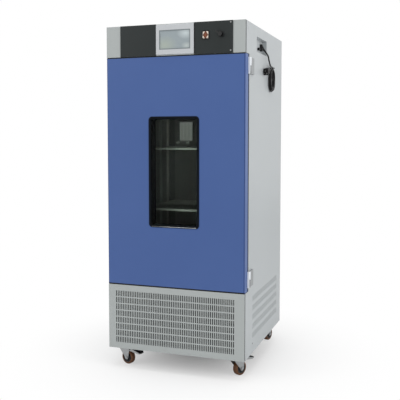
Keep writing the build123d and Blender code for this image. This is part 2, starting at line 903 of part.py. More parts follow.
def make_controller():
    """The controller's closed case with cooling ribs, on the control deck."""
    low = door_zone_high + 2 * sheet
    x0 = controller_x - controller_width / 2
    x1 = controller_x + controller_width / 2
    y0 = controller_y - controller_depth / 2
    y1 = controller_y + controller_depth / 2
    case = block(x0, x1, y0, y1, low, low + controller_height * 0.8)
    pitch = controller_width / controller_ribs
    for index in range(controller_ribs):
        x = x0 + (index + 0.5) * pitch
        case += block(x - pitch / 5, x + pitch / 5, y0, y1, low + controller_height * 0.8, low + controller_height)
    return case


# Power recess in the right side

def recess_wall_x():
    return half_width - recess_depth


def make_power_recess():
    """The shallow tray let into the side, with the fuse holder in its floor."""
    wall = recess_wall_x()
    outer = block(wall - sheet, inside_x, recess_front_y - sheet, recess_back_y + sheet,
                  recess_low_z - sheet, recess_high_z + sheet)
    flange = block(inside_x - sheet, inside_x, recess_front_y - recess_flange, recess_back_y + recess_flange,
                   recess_low_z - recess_flange, recess_high_z + recess_flange)
    hollow = block(wall, inside_x + 1, recess_front_y, recess_back_y, recess_low_z, recess_high_z)
    tray = outer + flange - hollow
    fuse = rod((wall, fuse_y, fuse_z), (wall + fuse_depth, fuse_y, fuse_z), fuse_radius)
    return tray + fuse


def make_breaker():
    """The breaker's body with a slot for its toggle."""
    wall = recess_wall_x()
    body = block(wall, wall + breaker_depth, breaker_y - breaker_width / 2, breaker_y + breaker_width / 2,
                 breaker_z - breaker_height / 2, breaker_z + breaker_height / 2)
    slot = block(wall + 1.5, wall + breaker_depth + 1, breaker_y - toggle_width / 2 - toggle_fit,
                 breaker_y + toggle_width / 2 + toggle_fit, breaker_z - 3 * toggle_radius,
                 breaker_z + 3 * toggle_radius)
    pin = rod((toggle_pivot_x(), breaker_y - breaker_width / 2 + 1, breaker_z),
              (toggle_pivot_x(), breaker_y + breaker_width / 2 - 1, breaker_z), 1.5)
    return body - slot + pin


def toggle_pivot_x():
    return recess_wall_x() + breaker_depth - toggle_radius


def make_breaker_toggle():
    """The toggle: a round barrel with a blade, tilted up where the breaker is on."""
    barrel = rod((0, -toggle_width / 2, 0), (0, toggle_width / 2, 0), toggle_radius)
    blade = block(0, toggle_reach, -toggle_width / 2, toggle_width / 2, -1.8, 1.8)
    bore = rod((0, -toggle_width, 0), (0, toggle_width, 0), 1.55)
    handle = Rot(0, -25, 0) * (barrel + blade - bore)
    return Pos(toggle_pivot_x(), breaker_y, breaker_z) * handle


def relief_line():
    """The bent strain relief's start and end, and its direction."""
    direction = Vector(*relief_direction).normalized()
    start = Vector(recess_wall_x() + gland_depth, gland_y, gland_z)
    return start, start + direction * relief_length, direction


def make_cord_gland():
    """The gland: a collar on the recess wall and a tapered sleeve that leans outwards and down."""
    start, end, direction = relief_line()
    wall = recess_wall_x()
    collar = rod((wall, gland_y, gland_z), (wall + gland_depth, gland_y, gland_z), gland_radius)
    knob = Pos(*start) * Sphere(relief_root_radius)
    sleeve = Plane(origin=start, z_dir=direction) * Cone(
        relief_root_radius, relief_tip_radius, relief_length, align=(Align.CENTER, Align.CENTER, Align.MIN))
    return collar + knob + sleeve


# Mains lead

def hank_inner_x():
    return half_width + hank_panel_gap + cord_diameter / 2


def hank_outer_x():
    return hank_inner_x() + hank_layer_pitch


def hank_start_z():
    """The height where the free stretch ends and the hank's first run starts."""
    return hank_centre_z + hank_run / 2 - cord_diameter


def hank_path():
    """The tied hank as one path: two loops inwards by the panel, then two outwards in front.

    Each half turn is a half circle whose ends are the two runs it joins, and every loop is
    one loop pitch narrower than the last. The change of layer is an S along one run.
    """
    top = hank_centre_z + hank_run / 2
    low = hank_centre_z - hank_run / 2
    inner = hank_inner_x()
    outer = hank_outer_x()
    step = hank_loop_pitch
    right = [hank_half_width, hank_half_width - step, hank_half_width - 2 * step]
    left = [-hank_half_width, -hank_half_width + step]
    pieces = []
    radii = []

    def run(x, y, z0, z1):
        pieces.append(Line((x, hank_centre_y + y, z0), (x, hank_centre_y + y, z1)))

    def turn(x, y0, y1, z, side):
        centre = hank_centre_y + (y0 + y1) / 2
        radius = abs(y0 - y1) / 2
        radii.append(radius)
        pieces.append(ThreePointArc((x, hank_centre_y + y0, z), (x, centre, z + side * radius),
                                    (x, hank_centre_y + y1, z)))

    run(inner, right[0], hank_start_z(), low)
    turn(inner, right[0], left[0], low, -1)
    run(inner, left[0], low, top)
    turn(inner, left[0], right[1], top, 1)
    run(inner, right[1], top, low)
    turn(inner, right[1], left[1], low, -1)
    run(inner, left[1], low, top)
    turn(inner, left[1], right[2], top, 1)
    y = hank_centre_y + right[2]
    shift = hank_layer_pitch
    middle = (inner + outer) / 2
    bend = (hank_run ** 2 + shift ** 2) / (4 * shift)
    lean = math.asin(hank_run / 2 / bend)
    quarter_z = bend * math.sin(lean / 2)
    quarter_x = bend * (1 - math.cos(lean / 2))
    pieces.append(ThreePointArc((inner, y, top), (inner + quarter_x, y, top - quarter_z),
                                (middle, y, hank_centre_z)))
    pieces.append(ThreePointArc((middle, y, hank_centre_z), (outer - quarter_x, y, low + quarter_z),
                                (outer, y, low)))
    turn(outer, right[2], left[1], low, -1)
    run(outer, left[1], low, top)
    turn(outer, left[1], right[1], top, 1)
    run(outer, right[1], top, low)
    turn(outer, right[1], left[0], low, -1)
    run(outer, left[0], low, top)
    radii.append(bend)
    y = hank_centre_y + left[0]
    sweep_deg = tail_turn_deg
    centre_y = y - tail_radius
    half_turn = math.radians(sweep_deg / 2)
    full_turn = math.radians(sweep_deg)
    middle_point = (outer, centre_y + tail_radius * math.cos(half_turn), top + tail_radius * math.sin(half_turn))
    end_point = (outer, centre_y + tail_radius * math.cos(full_turn), top + tail_radius * math.sin(full_turn))
    pieces.append(ThreePointArc((outer, y, top), middle_point, end_point))
    direction = (0, -math.sin(full_turn), math.cos(full_turn))
    last = tuple(end_point[i] + direction[i] * cord_diameter for i in range(3))
    pieces.append(Line(end_point, last))
    radii.append(tail_radius)
    return Wire(pieces), Vector(*last), Vector(*direction), radii


def sweep_round(path, radius):
    """A round tube along a path, started square to it."""
    start = path @ 0
    tangent = path % 0
    return sweep(Plane(origin=start, z_dir=tangent) * Circle(radius), path=path)


def make_cord_hank():
    path, end, direction, radii = hank_path()
    print("hank: length", round(path.length, 1), "mm, least radius", round(min(radii), 1), "mm")
    print("hank: least gap to itself", round(least_gap(path, cord_diameter), 2), "mm")
    return sweep_round(path, cord_diameter / 2)


def least_gap(path, diameter):
    """The least distance between parts of a tube that lie more than six diameters apart along it."""
    count = int(path.length / 4)
    points = [path @ (index / count) for index in range(count + 1)]
    step = path.length / count
    apart = int(6 * diameter / step)
    best = 1e9
    for first in range(len(points)):
        for second in range(first + apart, len(points)):
            best = min(best, (points[first] - points[second]).length)
    return best - diameter


def lead_route():
    """The free stretch of the lead, from the gland's tip to the top of the hank's first run."""
    start, tip, direction = relief_line()
    bend = tip + direction * lead_straight
    x = hank_inner_x()
    y = hank_centre_y + hank_half_width
    z = hank_start_z()
    return [
        (tip.X, tip.Y, tip.Z),
        (bend.X, bend.Y, bend.Z),
        (384.0, 20.0, 1625.0),
        (383.0, 44.0, 1608.5),
        (381.0, 68.0, 1600.0),
        (379.0, y - 67.7, z + 63.25),
        (378.0, y - 39.1, z + 63.25),
        (377.0, y - 14.3, z + 48.95),
        (x, y, z + 24.15),
        (x, y, z),
    ]


def corner_radii(points):
    """Each corner's radius: 0.45 of the shorter run over the tangent of half the turn."""
    radii = []
    for index in range(1, len(points) - 1):
        before = Vector(*points[index]) - Vector(*points[index - 1])
        after = Vector(*points[index + 1]) - Vector(*points[index])
        turn = math.radians(before.get_angle(after))
        shorter = min(before.length, after.length)
        radii.append(0.45 * shorter / math.tan(turn / 2))
    return radii


def make_mains_cord():
    """The free stretch: straight runs joined by tangent arcs."""
    points = lead_route()
    radii = corner_radii(points)
    path = FilletPolyline(*points, radius=radii)
    tube = sweep_round(path, cord_diameter / 2)
    expected = math.pi * cord_diameter ** 2 / 4 * path.length
    runs = [(Vector(*points[i + 1]) - Vector(*points[i])).length for i in range(len(points) - 1)]
    print("lead: length", round(path.length, 1), "mm, volume over section x length",
          round(tube.volume / expected, 4))
    print("lead: runs", [round(run, 1) for run in runs], "radii", [round(radius, 1) for radius in radii])
    return tube


def make_mains_plug():
    """The plug: a tapered neck, a rounded body and three flat pins."""
    path, end, direction, radii = hank_path()
    frame = Plane(origin=end, x_dir=(1, 0, 0), z_dir=direction)
    neck = Cone(cord_diameter / 2 + 0.6, plug_neck_radius, plug_relief_length,
                align=(Align.CENTER, Align.CENTER, Align.MIN))
    sections = []
    for share, scale in ((0, 0.62), (0.35, 0.96), (1, 1.0)):
        outline = RectangleRounded(plug_thickness * scale, plug_width * scale, 7 * scale)
        sections.append(Pos(0, 0, plug_relief_length + plug_length * share) * outline)
    body = loft(sections, ruled=True)
    pins = []
    pin_z = plug_relief_length + plug_length + pin_length / 2
    pins.append(Pos(0, pin_offset, pin_z) * Box(pin_thickness, pin_width, pin_length))
    for side in (-1, 1):
        slanted = Rot(0, 0, side * 30) * Box(pin_thickness, pin_width, pin_length)
        pins.append(Pos(side * pin_offset, -pin_offset, pin_z) * slanted)
    return frame * (neck + body + pins)


def make_cord_tie():
    """The tie round the strands at the top of the hank, with its loose tail."""
    top = hank_centre_z + hank_run / 2
    r = cord_diameter / 2 + tie_gap
    high = top + hank_half_width - hank_loop_pitch / 2 + r
    low = top + hank_half_width - 1.5 * hank_loop_pitch - r
    x0 = hank_inner_x() - r
    x1 = hank_outer_x() + r
    y = hank_centre_y - hank_loop_pitch / 4
    t = tie_thickness
    outer = block(x0 - t, x1 + t, y - tie_width / 2, y + tie_width / 2, low - t, high + t)
    hole = block(x0, x1, y - tie_width, y + tie_width, low, high)
    head = block(x1, x1 + 5, y - tie_width, y + tie_width, high - 5, high + t)
    tail = block(x1 + 1, x1 + 1 + t, y - tie_width / 2 - tie_tail, y - tie_width / 2, high - 1, high - 1 + tie_width)
    return outer - hole + head + tail


# Door

def make_door_shell():
    """The door's painted pan, open to the back, with the window hole and the grip pocket."""
    outer = block(-half_width, half_width, front_y, door_back_y, door_low, door_high)
    outer = fillet(outer.edges().filter_by(Axis.Z).group_by(Axis.Y)[0], door_corner)
    hollow = block(-inside_x, inside_x, front_y + sheet, door_back_y + 1, door_low + sheet, door_high - sheet)
    pan = outer - hollow - window_cut(front_y - 1, front_y + 2 * sheet)
    cup_outer = grip_block(0)
    cup_hollow = grip_block(sheet)
    return pan + cup_outer - cup_hollow


def grip_centre_y():
    return (front_y + door_back_y) / 2


def grip_block(wall):
    """The grip pocket in the door's free edge, drawn in by a wall all round."""
    return block(-half_width - (1 if wall else 0), -half_width + grip_depth - wall,
                 grip_centre_y() - grip_width / 2 + wall, grip_centre_y() + grip_width / 2 - wall,
                 grip_centre_z - grip_height / 2 + wall, grip_centre_z + grip_height / 2 - wall)


def window_cut(y0, y1):
    """The hole for the window frame, with its fitting gap."""
    size = (window_width + 2 * running_gap, window_height + 2 * running_gap)
    return rounded_prism(front_plane(y1), (window_centre_x, window_centre_z), size,
                         window_corner + running_gap, y1 - y0)


def make_door_liner():
    """The door's inner sheet, let into the pan."""
    plate = block(-inside_x, inside_x, door_back_y - door_liner_thickness, door_back_y,
                  door_low + sheet, door_high - sheet)
    return plate - window_cut(door_back_y - 2 * door_liner_thickness, door_back_y + 1)


def make_door_insulation():
    """The foam between the pan and the inner sheet."""
    foam = block(-inside_x, inside_x, front_y + sheet, door_back_y - door_liner_thickness,
                 door_low + sheet, door_high - sheet)
    return foam - window_cut(front_y, door_back_y) - grip_block(0)


def make_window_frame():
    """The dark frame through the door, with a lip in front and a groove for each pane."""
    centre = (window_centre_x, window_centre_z)
    ring = rounded_prism(front_plane(door_back_y), centre, (window_width, window_height), window_corner,
                         door_thickness)
    lip = rounded_prism(front_plane(front_y), centre, (window_width + 2 * window_lip, window_height + 2 * window_lip),
                        window_corner + window_lip, window_lip_thickness)
    opening = rounded_prism(front_plane(door_back_y + 1), centre,
                            (window_width - 2 * window_rim, window_height - 2 * window_rim),
                            window_corner - window_rim / 2, door_thickness + 4)
    frame = ring + lip - opening
    for y in pane_positions():
        frame -= pane_block(y, pane_thickness, 0)
    return frame


def pane_positions():
    """The front faces of the two panes."""
    outer = front_y + outer_pane_set_back
    inner = door_back_y - inner_pane_set_back - pane_thickness
    return [outer, inner]


def pane_block(y, thickness, edge):
    size = (window_width - 2 * window_rim + 2 * pane_groove - 2 * edge,
            window_height - 2 * window_rim + 2 * pane_groove - 2 * edge)
    return rounded_prism(front_plane(y + thickness), (window_centre_x, window_centre_z), size,
                         window_corner - window_rim / 2, thickness)


def make_window_panes():
    return [pane_block(y, pane_thickness, running_gap) for y in pane_positions()]


def make_door_gasket():
    """The magnetic seal on the door's inner face, a hair off the frame."""
    y1 = frame_y - running_gap
    outer_x = inside_x - gasket_inset
    outer_low = door_low + gasket_inset / 2
    outer_high = door_high - gasket_inset / 2
    depth = y1 - door_back_y
    centre = (0, (outer_low + outer_high) / 2)
    outer = rounded_prism(front_plane(y1), centre, (2 * outer_x, outer_high - outer_low), 12, depth)
    inner = rounded_prism(front_plane(y1 + 1), centre,
                          (2 * outer_x - 2 * gasket_width, outer_high - outer_low - 2 * gasket_width), 4, depth + 2)
    return outer - inner


# Hinges

def hinge_zs():
    return [hinge_low_centre_z, hinge_top_centre_z]


def leaf(z, y0, y1, half, knuckle_z0, knuckle_z1):
    """One leaf: a plate on the side, a web and a knuckle over half of the hinge's height."""
    plate = block(half_width, half_width + leaf_thickness, y0, y1, z - half, z + half)
    reach = min(y0, y1) if abs(min(y0, y1) - pivot_y) < abs(max(y0, y1) - pivot_y) else max(y0, y1)
    web = block(half_width + knuckle_side_gap, half_width + leaf_thickness, reach, pivot_y, knuckle_z0, knuckle_z1)
    barrel = rod((pivot_x, pivot_y, knuckle_z0), (pivot_x, pivot_y, knuckle_z1), knuckle_radius)
    return plate + web + barrel


def make_door_hinge_leaves():
    """The leaves on the door's edge: the upper knuckle of each hinge, bored for the pin."""
    leaves = []
    half = hinge_height / 2
    y1 = pivot_y - knuckle_radius - leaf_knuckle_gap
    for z in hinge_zs():
        one = leaf(z, y1 - door_leaf_length, y1, half, z + running_gap / 2, z + half)
        bore = rod((pivot_x, pivot_y, z - 1), (pivot_x, pivot_y, z + half + 1), hinge_pin_radius + hinge_fit)
        leaves.append(one - bore)
    return leaves


def make_cabinet_hinge_leaves():
    """The leaves on the cabinet's side: the lower knuckle of each hinge and the pin that stands in it."""
    leaves = []
    half = hinge_height / 2
    y0 = pivot_y + knuckle_radius + leaf_knuckle_gap
    for z in hinge_zs():
        one = leaf(z, y0, y0 + cabinet_leaf_length, half, z - half, z - running_gap / 2)
        pin = rod((pivot_x, pivot_y, z - half / 2), (pivot_x, pivot_y, z + half - 3), hinge_pin_radius)
        leaves.append(one + pin)
    return leaves


# Casters

def caster_frames():
    """Each caster's name and its swivel's place: X of the local frame points along the trail."""
    spots = {
        "front_left": (caster_left_x, -caster_y, front_left_swivel_deg),
        "front_right": (caster_right_x, -caster_y, front_right_swivel_deg),
        "back_left": (caster_left_x, caster_y, back_left_swivel_deg),
        "back_right": (caster_right_x, caster_y, back_right_swivel_deg),
    }
    return spots


def placed(name, shape):
    """A shape of the caster's own frame, set at its corner and turned as it stands."""
    x, y, turn = caster_frames()[name]
    return Pos(x, y, 0) * Rot(0, 0, turn) * shape


def make_caster_plates():
    """The four top plates, each with its ball race, kingpin and riveted head."""
    plates = []
    race_low = caster_height - caster_plate_thickness - race_height
    for name in caster_frames():
        x, y, turn = caster_frames()[name]
        top = caster_height
        plate = block(x - caster_plate_length / 2, x + caster_plate_length / 2, y - caster_plate_width / 2,
                      y + caster_plate_width / 2, top - caster_plate_thickness, top)
        race = Pos(x, y, 0) * rod((0, 0, race_low), (0, 0, top - caster_plate_thickness), race_radius)
        pin = rod((x, y, fork_top_z - swivel_gap), (x, y, race_low), kingpin_radius)
        head = rod((x, y, fork_top_z - swivel_gap - kingpin_head), (x, y, fork_top_z - swivel_gap),
                   kingpin_head_radius)
        plates.append(plate + race + pin + head)
    return plates


def make_fork():
    """The fork in its own frame: a flared bridge, two legs, the axle and its heads."""
    inner = wheel_width / 2 + wheel_side_gap
    outer = inner + fork_sheet
    foot_z = wheel_radius
    leg_points = [
        (-fork_top_front, fork_top_z + fork_bridge),
        (fork_top_back, fork_top_z + fork_bridge),
        (fork_top_back, fork_top_z - 8),
        (caster_trail + fork_foot_radius, foot_z),
        (caster_trail - fork_foot_radius, foot_z),
        (-fork_top_front, fork_top_z - 6),
    ]
    leg_face = make_face(Plane.XZ * Polyline(*leg_points, close=True))
    foot = rod((caster_trail, -outer, foot_z), (caster_trail, outer, foot_z), fork_foot_radius)
    legs = extrude(leg_face, amount=outer, both=True) + foot
    gap = block(-caster_height, caster_height, -inner, inner, 0, fork_top_z)
    fork = legs - gap
    race_low = caster_height - caster_plate_thickness - race_height
    fork += rod((0, 0, fork_top_z), (0, 0, race_low - swivel_gap), race_radius + 2)
    fork -= rod((0, 0, fork_top_z - 1), (0, 0, race_low + 1), kingpin_radius + axle_fit)
    axle_end = outer + axle_head
    fork += rod((caster_trail, -outer, foot_z), (caster_trail, outer, foot_z), axle_radius)
    for side in (-1, 1):
        fork += rod((caster_trail, side * outer, foot_z), (caster_trail, side * axle_end, foot_z),
                    axle_head_radius)
    return fork


def make_braked_fork():
    """A front fork, with the pin that the brake pedal turns on."""
    outer = wheel_width / 2 + wheel_side_gap + fork_sheet
    pin = rod((pedal_pivot_x, -outer, pedal_pivot_z), (pedal_pivot_x, outer, pedal_pivot_z), pedal_pin_radius)
    return make_fork() + pin


def make_wheel():
    """A wheel in the caster's frame: a rounded tread, a dished side and a bored hub."""
    half = wheel_width / 2
    r = wheel_radius
    bore = axle_radius + axle_fit
    crown = 5.0
    outline = Polyline((bore, -half), (13, -half), (15, -half + 4), (26, -half + 4), (29, -half + 1),
                       (r - crown, -half + 1)) + \
        ThreePointArc((r - crown, -half + 1), (r - crown * 0.29, -half + 1 + crown * 0.71), (r, -half + 1 + 2 * crown)) + \
        Line((r, -half + 1 + 2 * crown), (r, half - 1 - 2 * crown)) + \
        ThreePointArc((r, half - 1 - 2 * crown), (r - crown * 0.29, half - 1 - crown * 0.71), (r - crown, half - 1)) + \
        Polyline((r - crown, half - 1), (29, half - 1), (26, half - 4), (15, half - 4), (13, half), (bore, half),
                 (bore, -half))
    face = make_face(outline)
    solid = revolve(face, Axis.Y)
    return Pos(caster_trail, 0, wheel_radius) * solid


def make_brake_pedal():
    """The brake pedal: an eye on the fork's pin, a rising arm and a ribbed foot pad."""
    eye = rod((pedal_pivot_x, -pedal_width / 2, pedal_pivot_z), (pedal_pivot_x, pedal_width / 2, pedal_pivot_z),
              pedal_eye_radius)
    arm_points = [
        (pedal_pivot_x, pedal_pivot_z - 1.5),
        (pedal_pivot_x + 10, pedal_pivot_z - 1.0),
        (pedal_pad_start + 2, pedal_pad_z - pedal_sheet - 2),
        (pedal_pad_start + 2, pedal_pad_z - 1),
        (pedal_pivot_x + 9, pedal_pivot_z + 2.5),
        (pedal_pivot_x, pedal_pivot_z + 1.5),
    ]
    arm = extrude(make_face(Plane.XZ * Polyline(*arm_points, close=True)), amount=pedal_width / 2, both=True)
    pad = Box(pedal_pad_length, pedal_pad_width, pedal_pad_thickness, align=(Align.MIN, Align.CENTER, Align.MAX))
    for index in range(3):
        x = pedal_pad_length * (0.25 + 0.25 * index)
        pad += Pos(x, 0, 0.6) * Box(2.5, pedal_pad_width - 8, 1.2)
    pad = Pos(pedal_pad_start, 0, pedal_pad_z) * Rot(0, pedal_pad_drop_deg, 0) * pad
    bore = rod((pedal_pivot_x, -pedal_width, pedal_pivot_z), (pedal_pivot_x, pedal_width, pedal_pivot_z),
               pedal_pin_radius + axle_fit)
    return eye + arm + pad - bore


def make_nodes():
    """Every named piece of the object, in the cabinet's own frame."""
    nodes = {
        "base_frame": make_base_frame(),
        "left_side_panel": make_left_side_panel(),
        "right_side_panel": make_right_side_panel(),
        "back_panel": make_back_panel(),
        "top_cover": make_top_cover(),
        "lower_front_grille": make_lower_front_grille(),
        "control_fascia": make_control_fascia(),
        "control_plates": make_control_plates(),
        "panel_screws": make_panel_screws(),
        "display_bezel": make_display_bezel(),
        "display_screen": make_display_screen(),
        "switch_bezels": make_switch_bezels(),
        "rocker": make_rocker(),
        "selector_lever": make_selector_lever(),
        "front_frame": make_front_frame(),
        "chamber_liner": make_chamber_liner(),
        "body_insulation": make_body_insulation(),
        "control_deck": make_control_deck(),
        "duct_cover": make_duct_cover(),
        "air_coils": make_air_coils(),
        "fan_motors": make_fan_motors(),
        "circulation_fan": make_circulation_fan(),
        "condenser_fan": make_condenser_fan(),
        "duct_fittings": make_sensor_probes() + [make_outlet_louvre()],
        "lamp_tubes": make_lamp_tubes(),
        "lamp_guards": make_lamp_guards(),
        "shelf_uprights": make_shelf_uprights(),
        "shelf_clips": make_shelf_clips(),
        "lower_shelf": make_shelf("lower"),
        "upper_shelf": make_shelf("upper"),
        "compressor": make_compressor(),
        "condenser": make_condenser(),
        "controller": make_controller(),
        "power_recess": make_power_recess(),
        "breaker": make_breaker(),
        "breaker_toggle": make_breaker_toggle(),
        "cord_gland": make_cord_gland(),
        "mains_cord": make_mains_cord(),
        "cord_hank": make_cord_hank(),
        "cord_tie": make_cord_tie(),
        "mains_plug": make_mains_plug(),
        "door_shell": make_door_shell(),
        "door_liner": make_door_liner(),
        "door_insulation": make_door_insulation(),
        "window_frame": make_window_frame(),
        "window_panes": make_window_panes(),
        "door_gasket": make_door_gasket(),
        "door_hinge_leaves": make_door_hinge_leaves(),
        "cabinet_hinge_leaves": make_cabinet_hinge_leaves(),
        "caster_plates": make_caster_plates(),
    }
    for name in caster_frames():
        fork = make_braked_fork() if name.startswith("front") else make_fork()
        nodes["fork_" + name] = placed(name, fork)
        nodes["wheel_" + name] = placed(name, make_wheel())
        if name.startswith("front"):
            nodes["pedal_" + name] = placed(name, make_brake_pedal())
    return nodes


def moved(piece, shift):
    """A node's shape at its place: one solid, or a group of separate solids."""
    if not isinstance(piece, list):
        return shift * piece
    solids = []
    for item in piece:
        solids.extend((shift * item).solids())
    return Compound(solids)


cord_nodes = ("mains_cord", "cord_hank", "cord_tie", "mains_plug")


def floor_origin(nodes):
    """The middle of the object's box without its cord, on the floor."""
    lows = []
    highs = []
    for name, shape in nodes.items():
        if name in cord_nodes:
            continue
        limits = shape.bounding_box()
        lows.append(limits.min)
        highs.append(limits.max)
    x = (min(low.X for low in lows) + max(high.X for high in highs)) / 2
    y = (min(low.Y for low in lows) + max(high.Y for high in highs)) / 2
    return Vector(x, y, 0)


pieces = make_nodes()
origin = floor_origin({name: moved(piece, Pos(0, 0, 0)) for name, piece in pieces.items()})
print("origin in the cabinet's frame:", round(origin.X, 3), round(origin.Y, 3), round(origin.Z, 3))
for node, piece in pieces.items():
    export_step(moved(piece, Pos(-origin.X, -origin.Y, -origin.Z)), "parts/" + node + ".step")
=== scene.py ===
# %% [markdown]
# # A plant growth chamber
# The object is a tall cabinet on casters: a blue door with a window, a grey control front
# above it, and a slotted grey front below it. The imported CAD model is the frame. It is
# loaded first, and every new surface is fitted to its boxes.

# %% load the frame
import json
import math

import bpy
import numpy as np
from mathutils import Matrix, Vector

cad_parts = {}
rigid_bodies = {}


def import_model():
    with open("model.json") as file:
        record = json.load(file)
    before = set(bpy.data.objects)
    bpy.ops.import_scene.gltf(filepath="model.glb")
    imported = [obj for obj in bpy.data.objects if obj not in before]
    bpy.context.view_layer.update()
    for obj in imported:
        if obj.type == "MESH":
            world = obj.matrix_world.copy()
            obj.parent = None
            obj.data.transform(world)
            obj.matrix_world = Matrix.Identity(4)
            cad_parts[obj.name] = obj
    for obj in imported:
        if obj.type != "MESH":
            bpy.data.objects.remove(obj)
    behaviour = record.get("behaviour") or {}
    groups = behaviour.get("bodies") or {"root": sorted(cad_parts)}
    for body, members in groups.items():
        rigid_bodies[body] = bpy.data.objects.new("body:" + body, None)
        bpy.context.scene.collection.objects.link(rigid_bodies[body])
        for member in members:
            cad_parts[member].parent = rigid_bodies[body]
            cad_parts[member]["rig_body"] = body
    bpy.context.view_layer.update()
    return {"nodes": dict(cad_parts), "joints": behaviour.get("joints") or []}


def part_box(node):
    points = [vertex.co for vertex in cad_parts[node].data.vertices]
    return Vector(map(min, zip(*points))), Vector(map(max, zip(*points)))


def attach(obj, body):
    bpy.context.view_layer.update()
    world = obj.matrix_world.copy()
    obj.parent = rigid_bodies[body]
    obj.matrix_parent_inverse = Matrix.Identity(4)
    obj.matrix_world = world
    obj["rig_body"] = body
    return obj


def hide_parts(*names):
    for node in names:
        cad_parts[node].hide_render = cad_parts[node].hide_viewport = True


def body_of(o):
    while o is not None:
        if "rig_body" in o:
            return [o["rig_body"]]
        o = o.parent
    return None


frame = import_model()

nodes = frame["nodes"]

# %% [markdown]
# The camera could stand level and use a large shift, as an architect's does. A large shift
# would push the cabinet out of other views, so most of the framing comes from a small tilt,
# and only the rest from the shift. Its place comes from the cabinet's corners in the photo.

# %% camera
def into_scene(name, data):
    """A new object that shows some data, in the scene."""
    thing = bpy.data.objects.new(name, data)
    bpy.context.scene.collection.objects.link(thing)
    return thing


camera_data = bpy.data.cameras.new("camera")
camera_data.sensor_width = 36.0
camera_data.lens = 60.172
camera_data.shift_y = -0.052
camera = into_scene("camera", camera_data)
camera.location = (1.2213, -3.5120, 1.2196)
tilt, turn = 0.06456, 0.33545
camera.rotation_euler = (math.pi / 2 - tilt, 0.0, turn)
bpy.context.scene.camera = camera
print("camera stands", round(camera.location.z, 3), "m high")

# %% [markdown]
# The mains lead is one flexible tube: it leaves a strain relief in the recess, drops along
# the side, goes round the tied hank and ends in the plug. A tube swept round exact arcs
# looks like bent wire, so the lead is one smooth spline, and the loops are further points
# of that same spline, on half circles joined by runs.

# %% the lead's route
def metres(x, y, z):
    """A point of the cabinet's own millimetre frame, moved to the frame's origin."""
    return ((x - 6.25) / 1000, (y + 12.65) / 1000, z / 1000)


lead_points = [
    (368.40, 0.32, 1669.28), (382.80, 4.64, 1650.56), (384.0, 20.0, 1625.0), (383.0, 44.0, 1608.5),
    (381.0, 68.0, 1600.0), (379.0, 92.8, 1598.0), (378.0, 121.4, 1598.0), (377.0, 146.2, 1583.7),
    (376.5, 160.5, 1558.9),
]
hank_y, hank_z = 110.0, 1529.0
hank_half, hank_run, loop_pitch = 50.5, 27.5, 10.5
layer_inner, layer_outer = 376.5, 385.1


def half_turn(x, y0, y1, z, side):
    """Six points round half a circle from y0 to y1: each lies 15 degrees off the last knot,
    at the radius over cos 15, so that a quadratic spline touches the circle between them."""
    centre, radius = (y0 + y1) / 2, (y0 - y1) / 2
    angles = np.radians(np.arange(15, 180, 30))
    reach = abs(radius) / math.cos(math.radians(15))
    y = hank_y + centre + np.sign(radius) * reach * np.cos(angles)
    height = z + side * reach * np.sin(angles)
    return [(x, float(a), float(b)) for a, b in zip(y, height)]


def winding(x, stops):
    """Half turns from stop to stop in y, by turns round the low and the high end."""
    ends = [(hank_low, -1), (hank_top, 1)]
    return [point for step, (y0, y1) in enumerate(zip(stops, stops[1:]))
            for point in half_turn(x, y0, y1, *ends[step % 2])]


hank_top, hank_low = hank_z + hank_run / 2, hank_z - hank_run / 2
right = [hank_half - step * loop_pitch for step in range(3)]
left = [-hank_half + step * loop_pitch for step in range(2)]
loop_points = winding(layer_inner, [right[0], left[0], right[1], left[1], right[2]])
loop_points += [(layer_inner, hank_y + right[2], hank_z + 7), (layer_outer, hank_y + right[2], hank_z - 7)]
loop_points += winding(layer_outer, [right[2], left[1], right[1], left[0]])

tail_radius, tail_turn = 34.0, math.radians(105)
tail_centre = (hank_y + left[0] - tail_radius, hank_top)
tail_steps = (np.arange(4) + 0.5) / 4 * tail_turn
tail_reach = tail_radius / math.cos(tail_turn / 8)
tail_points = [(layer_outer, tail_centre[0] + tail_reach * math.cos(a),
                tail_centre[1] + tail_reach * math.sin(a)) for a in tail_steps]
tail_direction = (-math.sin(tail_turn), math.cos(tail_turn))
tail_end = (layer_outer,
            tail_centre[0] + tail_radius * math.cos(tail_turn) + 8 * tail_direction[0],
            tail_centre[1] + tail_radius * math.sin(tail_turn) + 8 * tail_direction[1])
cord_points = [metres(*p) for p in lead_points + loop_points + tail_points + [tail_end]]
print("lead:", len(lead_points), "route points and", len(loop_points) + len(tail_points), "loop points")

# %% the lead as a spline
lead_data = bpy.data.curves.new("mains_lead", "CURVE")
lead_data.dimensions = "3D"
lead_spline = lead_data.splines.new("NURBS")
lead_spline.points.add(len(cord_points) - 1)
lead_spline.points.foreach_set("co", np.array([(*p, 1.0) for p in cord_points], np.float32).ravel())
lead_spline.order_u = 3
lead_spline.use_endpoint_u = True
lead_spline.resolution_u = 10
# The tube's thickness is the bevel depth times each point's radius. The radius carries the
# real size here, because a control point's box grows by its radius and would spoil the views.
lead_data.bevel_depth = 1.0
lead_spline.points.foreach_set("radius", np.full(len(cord_points), 0.004, np.float32))
lead_data.bevel_resolution = 5
lead_data.use_fill_caps = True
lead = into_scene("mains_lead", lead_data)
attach(lead, "cabinet")
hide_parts("mains_cord", "cord_hank")
print("lead laid, 1.44 m long and 8 mm thick")

# %% [markdown]
# Two helpers make all the new metal. The first turns arrays of corners and faces into a
# mesh that rides on a body. The second lays a grid of points over two parameters, which is
# how a turned wheel, a bent rod or a rounded strip is worked out.

